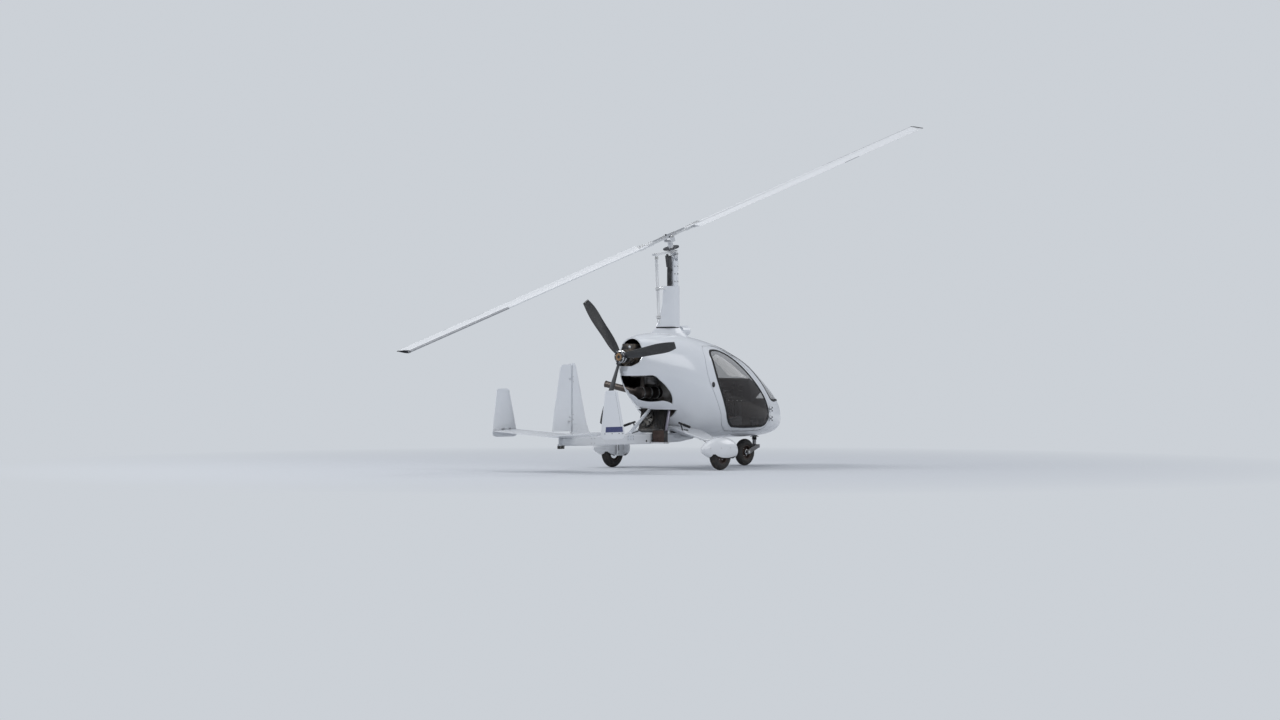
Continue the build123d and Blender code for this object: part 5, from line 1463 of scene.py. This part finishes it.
# Seats. Moulded shells with separate padded cushions: a pan, a tall back and a headrest
# each, in dark grained leather with pressed channels, stitches and a welt round the edge.
leather = Finish("seat_leather", (0.085, 0.058, 0.044), 0.45, Coat_Weight=0.1)
grain = leather.out(leather.node("TexVoronoi", {"feature": "DISTANCE_TO_EDGE"},
    Vector=leather.place(), Scale=420.0), "Distance")
leather_cloud = leather.noise(6, 4)
leather.set("Base Color", leather.mix(leather_cloud, (0.105, 0.07, 0.052), (0.06, 0.041, 0.032)))
leather.set("Roughness", leather_cloud * 0.25 + 0.32)
leather.bump(grain, 0.35, 0.0006)
thread = worn_finish("seat_thread", (0.16, 0.14, 0.12), None, (900, 2), None, (0.6, 0.2))
shell_grey = worn_finish("seat_shell", (0.05, 0.05, 0.052), None, (120, 3), None, (0.35, 0.3),
    grain=(500, 2, 0.15, 0.0005))
SEAT_FRAMES = 20
SECTION_POINTS = 28


def rounded(value, power):
    """A sine or cosine raised to a power with its sign kept, for squarish outlines."""
    return math.copysign(abs(value) ** power, value)


def cushion(name, places, width, thick, round_ends, cap):
    """A padded cushion along a side profile: rings of a rounded section, then a puff by cloth."""
    rings = []
    total = len(places) - 1
    for index, (x, z, nx, nz) in enumerate(places):
        end = min(index, total - index) / max(1.0, total * 0.18)
        fade = min(1.0, end)
        swell = math.sqrt(max(0.0, 1 - (1 - fade) ** 2))
        half_width = width / 2 * (1 - round_ends * (1 - swell))
        half_thick = thick / 2 * (0.25 + 0.75 * swell)
        ring = []
        for step in range(SECTION_POINTS):
            a = 2 * math.pi * step / SECTION_POINTS
            across_part = half_width * rounded(math.cos(a), 0.45)
            up_part = half_thick * rounded(math.sin(a), 0.7)
            ring.append((x + nx * up_part, across_part, z + nz * up_part))
        rings.append(ring)
    piece = lofted(name, [rings])
    puff(piece, cap)
    return piece


def puff(piece, cap):
    """Swells a pad with a short cloth simulation and keeps each point within cap of its start."""
    pick(piece)
    piece.data.remesh_voxel_size = 0.012
    bpy.ops.object.voxel_remesh()
    start = [vertex.co.copy() for vertex in piece.data.vertices]
    cloth = piece.modifiers.new("puff", "CLOTH")
    cloth.settings.use_pressure = True
    cloth.settings.uniform_pressure_force = 4
    cloth.settings.effector_weights.gravity = 0
    cloth.settings.quality = 4
    cloth.point_cache.frame_end = SEAT_FRAMES
    for step in range(1, SEAT_FRAMES + 1):
        bpy.context.scene.frame_set(step)
    graph = bpy.context.evaluated_depsgraph_get()
    swollen = [vertex.co.copy() for vertex in piece.evaluated_get(graph).data.vertices]
    piece.modifiers.remove(cloth)
    for vertex, first, last in zip(piece.data.vertices, start, swollen):
        move = last - first
        if move.length > cap:
            move = move * (cap / move.length)
        vertex.co = first + move
    bpy.context.scene.frame_set(1)
    fine = piece.modifiers.new("fine", "SUBSURF")
    fine.levels = 1
    fine.render_levels = 1
    bpy.ops.object.modifier_apply(modifier="fine")


def along_profile(corners, spacing):
    """Evenly spaced places on a smooth line through corners, each with its normal."""
    guide = drawn("guide", [(x, 0, z) for x, z in corners], order=3, smooth=24)
    path = [vertex.co.copy() for vertex in guide.data.vertices]
    bpy.data.objects.remove(guide)
    reach = [0.0]
    for first, second in zip(path, path[1:]):
        reach.append(reach[-1] + (second - first).length)
    count = max(6, round(reach[-1] / spacing))
    found = []
    for step in range(count + 1):
        want = reach[-1] * step / count
        index = max(1, next((k for k, value in enumerate(reach) if value >= want - 1e-9),
            len(reach) - 1))
        span = max(1e-9, reach[index] - reach[index - 1])
        here = path[index - 1].lerp(path[index], (want - reach[index - 1]) / span)
        way = (path[index] - path[index - 1]).normalized()
        found.append((here.x, here.z, -way.z, way.x))
    return found


def spacing_of(places):
    """The distance from one place of a profile to the next."""
    return math.hypot(places[1][0] - places[0][0], places[1][1] - places[0][1])


def on_profile(places, at):
    """The place at a distance along a profile, the way it runs there and its normal."""
    spacing = spacing_of(places)
    index = min(max(round(at / spacing), 0), len(places) - 1)
    x, z, nx, nz = places[index]
    way = Vector((nz, 0, -nx))
    return Vector((x, 0, z)) + way * (at - index * spacing), way, Vector((nx, 0, nz))


def press_channels(piece, places, side, crossings, depth=0.0042, width=0.0062):
    """Presses sewn channels into a cushion's face: two along it and some between them."""
    for vertex in piece.data.vertices:
        flat = Vector((vertex.co.x, 0, vertex.co.z))
        index = min(range(len(places)), key=lambda k: (places[k][0] - flat.x) ** 2
            + (places[k][1] - flat.z) ** 2)
        along = index * spacing_of(places)
        here, way, normal = on_profile(places, along)
        at = along + (flat - here).dot(way)
        if (here - flat).dot(normal) < 0.006:
            continue
        y = abs(vertex.co.y)
        pull = math.exp(-((y - side) / width) ** 2) if side else 0.0
        if y < (side or 1.0):
            pull = max([pull] + [math.exp(-((at - cross) / width) ** 2) for cross in crossings])
        vertex.co += normal * (depth * pull)


def stitches(name, rows, radius=0.0007, gap=0.35):
    """Short threads along rows of places, each from one place most of the way to the next."""
    threads = []
    for row in rows:
        for first, last in zip(row, row[1:]):
            last = last.lerp(first, gap)
            way = (last - first).normalized()
            up = way.orthogonal().normalized()
            corners = [up * radius, way.cross(up) * radius]
            corners += [-corner for corner in corners]
            threads.append([[place + corner for corner in corners] for place in (first, last)])
    return settle(lofted(name, threads), name, thread, angle=0)


def tree_of(piece):
    """The faces of a piece, to cast rays at."""
    return BVHTree.FromPolygons([vertex.co.copy() for vertex in piece.data.vertices],
        [list(face.vertices) for face in piece.data.polygons])


def sew(piece, name, places, width, side, crossings, middle):
    """Lays the welt round a cushion's edge and the stitches down its channels."""
    tree = tree_of(piece)
    length = spacing_of(places) * (len(places) - 1)
    shift = Vector((0, middle, 0))
    welt = []
    for step in range(WELT_STEPS):
        a = 2 * math.pi * step / WELT_STEPS
        along = rounded(math.cos(a), 0.5) * length / 2
        across = rounded(math.sin(a), 0.5) * width / 2
        inner = on_profile(places, length / 2 + along * 0.7)[0] + Vector((0, across * 0.7, 0))
        outer = on_profile(places, length / 2 + along * 1.5)[0] + Vector((0, across * 1.5, 0))
        place = tree.ray_cast(outer + shift, (inner - outer).normalized())[0]
        if place is not None:
            welt.append(place)
    pipe(name + "_welt", welt, 0.0028, leather, sides=4, smooth=2, closed=True)
    lines = [[(at * STITCH, sign * side) for at in range(3, int(length / STITCH) - 2)]
        for sign in ((-1, 1) if side else ())]
    reach = side or width * 0.36
    lines += [[(cross, y * STITCH) for y in range(int(-reach / STITCH) + 1, int(reach / STITCH))]
        for cross in crossings]
    rows = []
    for row in lines:
        found = []
        for at, y in row:
            place, _, normal = on_profile(places, at)
            spot = tree.ray_cast(place + shift + Vector((0, y, 0)) - normal * 0.15, normal)[0]
            if spot is not None:
                found.append(spot - normal * 0.0002)
        rows.append(found)
    stitches(name + "_stitches", rows)


# Side profile of each cushion: x and z along its middle, from the front or top.
PAN_LINE = ((0.752, 0.578), (0.64, 0.577), (0.52, 0.556), (0.425, 0.545))
BACK_LINE = ((0.34, 0.64), (0.318, 0.76), (0.29, 0.9), (0.262, 1.035))
HEAD_LINE = ((0.262, 1.045), (0.25, 1.1), (0.24, 1.16))
STITCH = 0.007
WELT_STEPS = 72
one_seat = []
for name, line, width, thick, cap, side, crossings in (
        ("seat_pan", PAN_LINE, 0.29, 0.062, 0.012, 0.08, (0.11, 0.21)),
        ("seat_back", BACK_LINE, 0.285, 0.06, 0.012, 0.078, (0.1, 0.2, 0.3)),
        ("seat_head", HEAD_LINE, 0.2, 0.062, 0.01, 0.0, (0.058,))):
    places = along_profile(line, 0.02)
    source = cushion(name, places, width, thick, 0.22, cap)
    press_channels(source, places, side, crossings)
    one_seat.append((name, source, (places, width, side, crossings)))
cushions_of = {"left": [], "right": []}
SEAT_Y = 0.262
for side, label in SIDES:
    y = side * SEAT_Y
    skin("seat_" + label, shell_grey, angle=25, bevel=0.012)
    for name, source, cut in one_seat:
        full_name = "%s_%s" % (name, label)
        piece = add_object(full_name, source.data.copy(), (0, y, 0))
        settle(piece, full_name, leather, angle=60)
        sew(piece, full_name, *cut, y)
        cushions_of[label].append(piece)
for _, source, _ in one_seat:
    bpy.data.objects.remove(source)

# Lap and shoulder belts. Flat woven webbing lies over each cushion, and the lap belt has
# a black buckle with a red button.
webbing = Finish("belt_webbing", (0.065, 0.062, 0.06), 0.8)
weave = webbing.out(webbing.node("TexWave", {"bands_direction": "DIAGONAL"},
    Vector=webbing.place(), Scale=160.0), "Fac")
webbing.set("Base Color", webbing.mix(weave, (0.05, 0.048, 0.047), (0.095, 0.09, 0.085)))
webbing.set("Roughness", weave * 0.15 + 0.7)
webbing.bump(weave, 0.4, 0.0006)


def belt(name, places, width, facing):
    """A flat strap through places; facing is the way its broad side looks at each."""
    path = [Vector(place) for place in places]
    rings = []
    for index, here in enumerate(path):
        before = path[max(index - 1, 0)]
        after = path[min(index + 1, len(path) - 1)]
        normal = Vector(facing[index]).normalized()
        across = (after - before).cross(normal).normalized()
        rings.append([here + across * (a * width / 2) + normal * h
            for a, h in ((-1, 0), (-1, 0.0016), (0, 0.0022), (1, 0.0016), (1, 0))])
    plate_between(name, rings, webbing, 50)


def over_cushions(side, spots, lift):
    """Places on the cushions' tops, seen from ahead and above."""
    trees = [tree_of(piece) for piece in cushions_of[side]]
    found = []
    for place, way in spots:
        way = Vector(way).normalized()
        start = Vector(place) - way * 0.4
        hits = [tree.ray_cast(start, way, 0.6) for tree in trees]
        reach = min([hit[3] for hit in hits if hit[0] is not None], default=0.4)
        found.append(start + way * (reach - lift))
    return found


buckle_red = worn_finish("buckle_red", (0.35, 0.03, 0.02), (0.22, 0.025, 0.02), (240, 3),
    (0.55, 0.2), (0.28, 0.25))
DOWN = (0.15, 0, -1)
BACKWARD = (-1, 0, -0.15)
BELT_LIFT = 0.0012
SHARES = [step / 14 for step in range(15)]
for side, label in SIDES:
    y = side * SEAT_Y
    for strap, start, end in (("outer", 0.075, 0.03), ("inner", -0.075, -0.02)):
        spots = [((0.262 + share * 0.08, y + start + (end - start) * share, 1.03 - share * 0.37),
            BACKWARD) for share in SHARES]
        belt("shoulder_belt_%s_%s" % (strap, label), over_cushions(label, spots, BELT_LIFT), 0.044,
            [(1, 0, 0.15)] * len(SHARES))
    spots = [((0.425 + 0.035 * math.cos(math.pi * (share - 0.5)), y - 0.118 + 0.236 * share,
        0.565), DOWN) for share in SHARES]
    lap = over_cushions(label, spots, BELT_LIFT)
    first_end, last_end = [[lap[at] + Vector((-0.008, way * 0.018, -0.014)),
        lap[at] + Vector((-0.014, way * 0.027, -0.045))] for at, way in ((0, -1), (-1, 1))]
    belt("lap_belt_" + label, first_end[::-1] + lap + last_end, 0.046,
        [(0, -1, 0.1), (0, -0.7, 0.7)] + [(-0.15, 0, 1)] * len(SHARES)
        + [(0, 0.7, 0.7), (0, 1, 0.1)])
    place = over_cushions(label, [((0.452, y, 0.57), DOWN)], 0.004)[0]
    box_piece("belt_buckle_" + label, (place.x - 0.024, y - 0.03, place.z - 0.006),
        (place.x + 0.024, y + 0.03, place.z + 0.01), black_nylon, 0.004)
    box_piece("belt_button_" + label, (place.x - 0.01, y + 0.008, place.z + 0.0095),
        (place.x + 0.012, y + 0.026, place.z + 0.0125), buckle_red, 0.0015)

# Instrument panel. A moulded black panel with a matt crackle coat, four round dials, four
# small gauges, a screen and a row of switches, all without words.
panel_black = worn_finish("panel_black", (0.018, 0.018, 0.02), (0.042, 0.042, 0.045),
    (260, 4, 0.7), None, (0.5, 0.25), grain=(0.5, 0.0008))
skin("instrument_panel", panel_black, bevel=0.006)
PANEL_FOOT = Vector((1.12, 0, 0.76))
PANEL_HEAD = Vector((1.075, 0, 1.036))
PANEL_UP = (PANEL_HEAD - PANEL_FOOT).normalized()
PANEL_OUT = Vector((-PANEL_UP.z, 0, PANEL_UP.x))


def on_panel(y, height, lift=0.0):
    """A place on the panel's face: sideways, up along the face, and out of it."""
    return PANEL_FOOT + PANEL_UP * height + PANEL_OUT * lift + Vector((0, y, 0))


def dial_finish(name, centre, radius, marks):
    """A black dial with light marks round its edge, and no words."""
    finish = Finish(name, (0.012, 0.012, 0.013), 0.3, Coat_Weight=0.8)
    across = finish.axis("Y") - centre.y
    up = (finish.axis("Z") - centre.z) * (1 / PANEL_UP.z)
    reach = (across * across + up * up).maths("SQRT")
    angle = up.maths("ARCTAN2", across)
    tick = (angle * (marks / (2 * math.pi))).maths("FRACT")
    edge = (tick - 0.5).maths("ABSOLUTE").above(0.44, 0.03)
    ring = reach.above(radius * 0.78, radius * 0.04) * reach.below(radius * 0.93, radius * 0.04)
    finish.set("Base Color", finish.mix(edge * ring, (0.012, 0.012, 0.013), (0.75, 0.76, 0.74)))
    return finish


# name, sideways, height on the panel, radius in millimetres, marks
DIALS = (("speed", -0.205, 0.175, 40, 24), ("height", 0.205, 0.175, 40, 20),
    ("rotor_speed", -0.1, 0.205, 29, 16), ("engine_speed", 0.1, 0.205, 29, 16),
    ("oil", -0.225, 0.085, 21, 10), ("water", -0.165, 0.085, 21, 10),
    ("fuel", 0.165, 0.085, 21, 8), ("volts", 0.225, 0.085, 21, 8))
for name, y, height, r, marks in DIALS:
    radius = r / 1000
    centre = on_panel(y, height)
    turned("dial_ring_" + name, [(r, 0), (r * 1.12, 0), (r * 1.12, 4), (r * 1.05, 6.2),
        (r * 0.98, 5.8), (r * 0.955, 3), (r * 0.955, 0.6)], centre, PANEL_OUT, head_dark, steps=40)
    turned("dial_face_" + name, [(0, 1.2), (r * 0.6, 1.2), (r * 0.96, 1), (r * 0.965, 0)], centre,
        PANEL_OUT, dial_finish("dial_" + name, on_panel(y, height, 0.004), radius, marks),
        steps=40, angle=30)
    hand = Vector((0, math.cos(0.9 + y * 5), 0)) + PANEL_UP * math.sin(0.9 + y * 5)
    side_way = hand.cross(PANEL_OUT)
    root = on_panel(y, height, 0.0022)
    plate_between("dial_hand_" + name, [[root + hand * (radius * at) + side_way * (half * w)
        + PANEL_OUT * h for w, h in ((-1, 0), (1, 0), (1, 0.0006), (-1, 0.0006))]
        for at, half in ((-0.15, 0.0013), (0.78, 0.0004))], polished, 0)
SCREEN_HALF = 0.098
SWITCH_START, SWITCH_PITCH = -0.195, 0.065
screen_dark = worn_finish("screen_dark", (0.01, 0.012, 0.016), None, (60, 3), None, (0.08, 0.1),
    Coat_Weight=1.0)
for name, low, high, lift, finish, inset in (("bezel", 0.05, 0.165, 0.006, black_nylon, 0.0),
                                             ("glass", 0.058, 0.157, 0.0072, screen_dark, 0.009)):
    half = SCREEN_HALF - inset
    rings = [[on_panel(y, h, out) for h, out in ((low, 0.0), (high, 0.0), (high - 0.002, lift),
        (low + 0.002, lift))] for y in (-half, half)]
    plate_between("panel_screen_" + name, rings, finish, 0)
for index in range(7):
    y = SWITCH_START + index * SWITCH_PITCH
    base = on_panel(y, 0.022)
    turned("switch_nut_%d" % index, [(0, 0), (6.5, 0), (6.5, 2), (4, 2.6), (3, 4), (0, 4)], base,
        PANEL_OUT, bolt_steel, steps=16)
    tip = base + PANEL_OUT * 0.016 + PANEL_UP * (0.006 if index % 2 else -0.006)
    rod_piece("switch_lever_%d" % index, base + PANEL_OUT * 0.002, tip, 0.0016, polished, 12,
        0.0006)

# Sticks and pedals. Each stick is a bent steel tube with a moulded grip and a rubber
# boot; the pedals are pressed plates with rubber ribs.
control_steel = worn_finish("control_steel", (0.05, 0.05, 0.052), (0.35, 0.35, 0.35), (60, 4),
    (0.6, 0.15), (0.28, 0.3), 0.6)
skin("controls", control_steel, bevel=0.001)
for side, label in SIDES:
    y = side * SEAT_Y
    turned("stick_grip_" + label, [(20.5, 0), (23.5, 4), (22, 20), (24.5, 40), (22.5, 60),
        (24.5, 82), (22.5, 104), (25, 124), (28.5, 140), (27, 156), (20, 164), (0, 166)],
        (0.86, y, 0.63), (-0.025, 0, 0.155), rubber, steps=36, angle=70)
    turned("stick_boot_" + label, [(52, 0), (50, 6), (40, 10), (42, 16), (31, 22), (33, 28),
        (23, 36), (24, 42), (15.5, 50), (14.2, 52)], (0.88, y, 0.4125), (0, 0, 1), rubber,
        steps=40, angle=70)
    for mark, offset in (("a", -0.11 * side), ("b", 0.02 * side)):
        for rib in range(5):
            z = 0.482 + rib * 0.0205
            box_piece("pedal_rib_%s_%s_%d" % (label, mark, rib), (1.3865, y + offset - 0.04, z),
                (1.3905, y + offset + 0.04, z + 0.006), rubber, 0.0012, 1)

low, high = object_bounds()
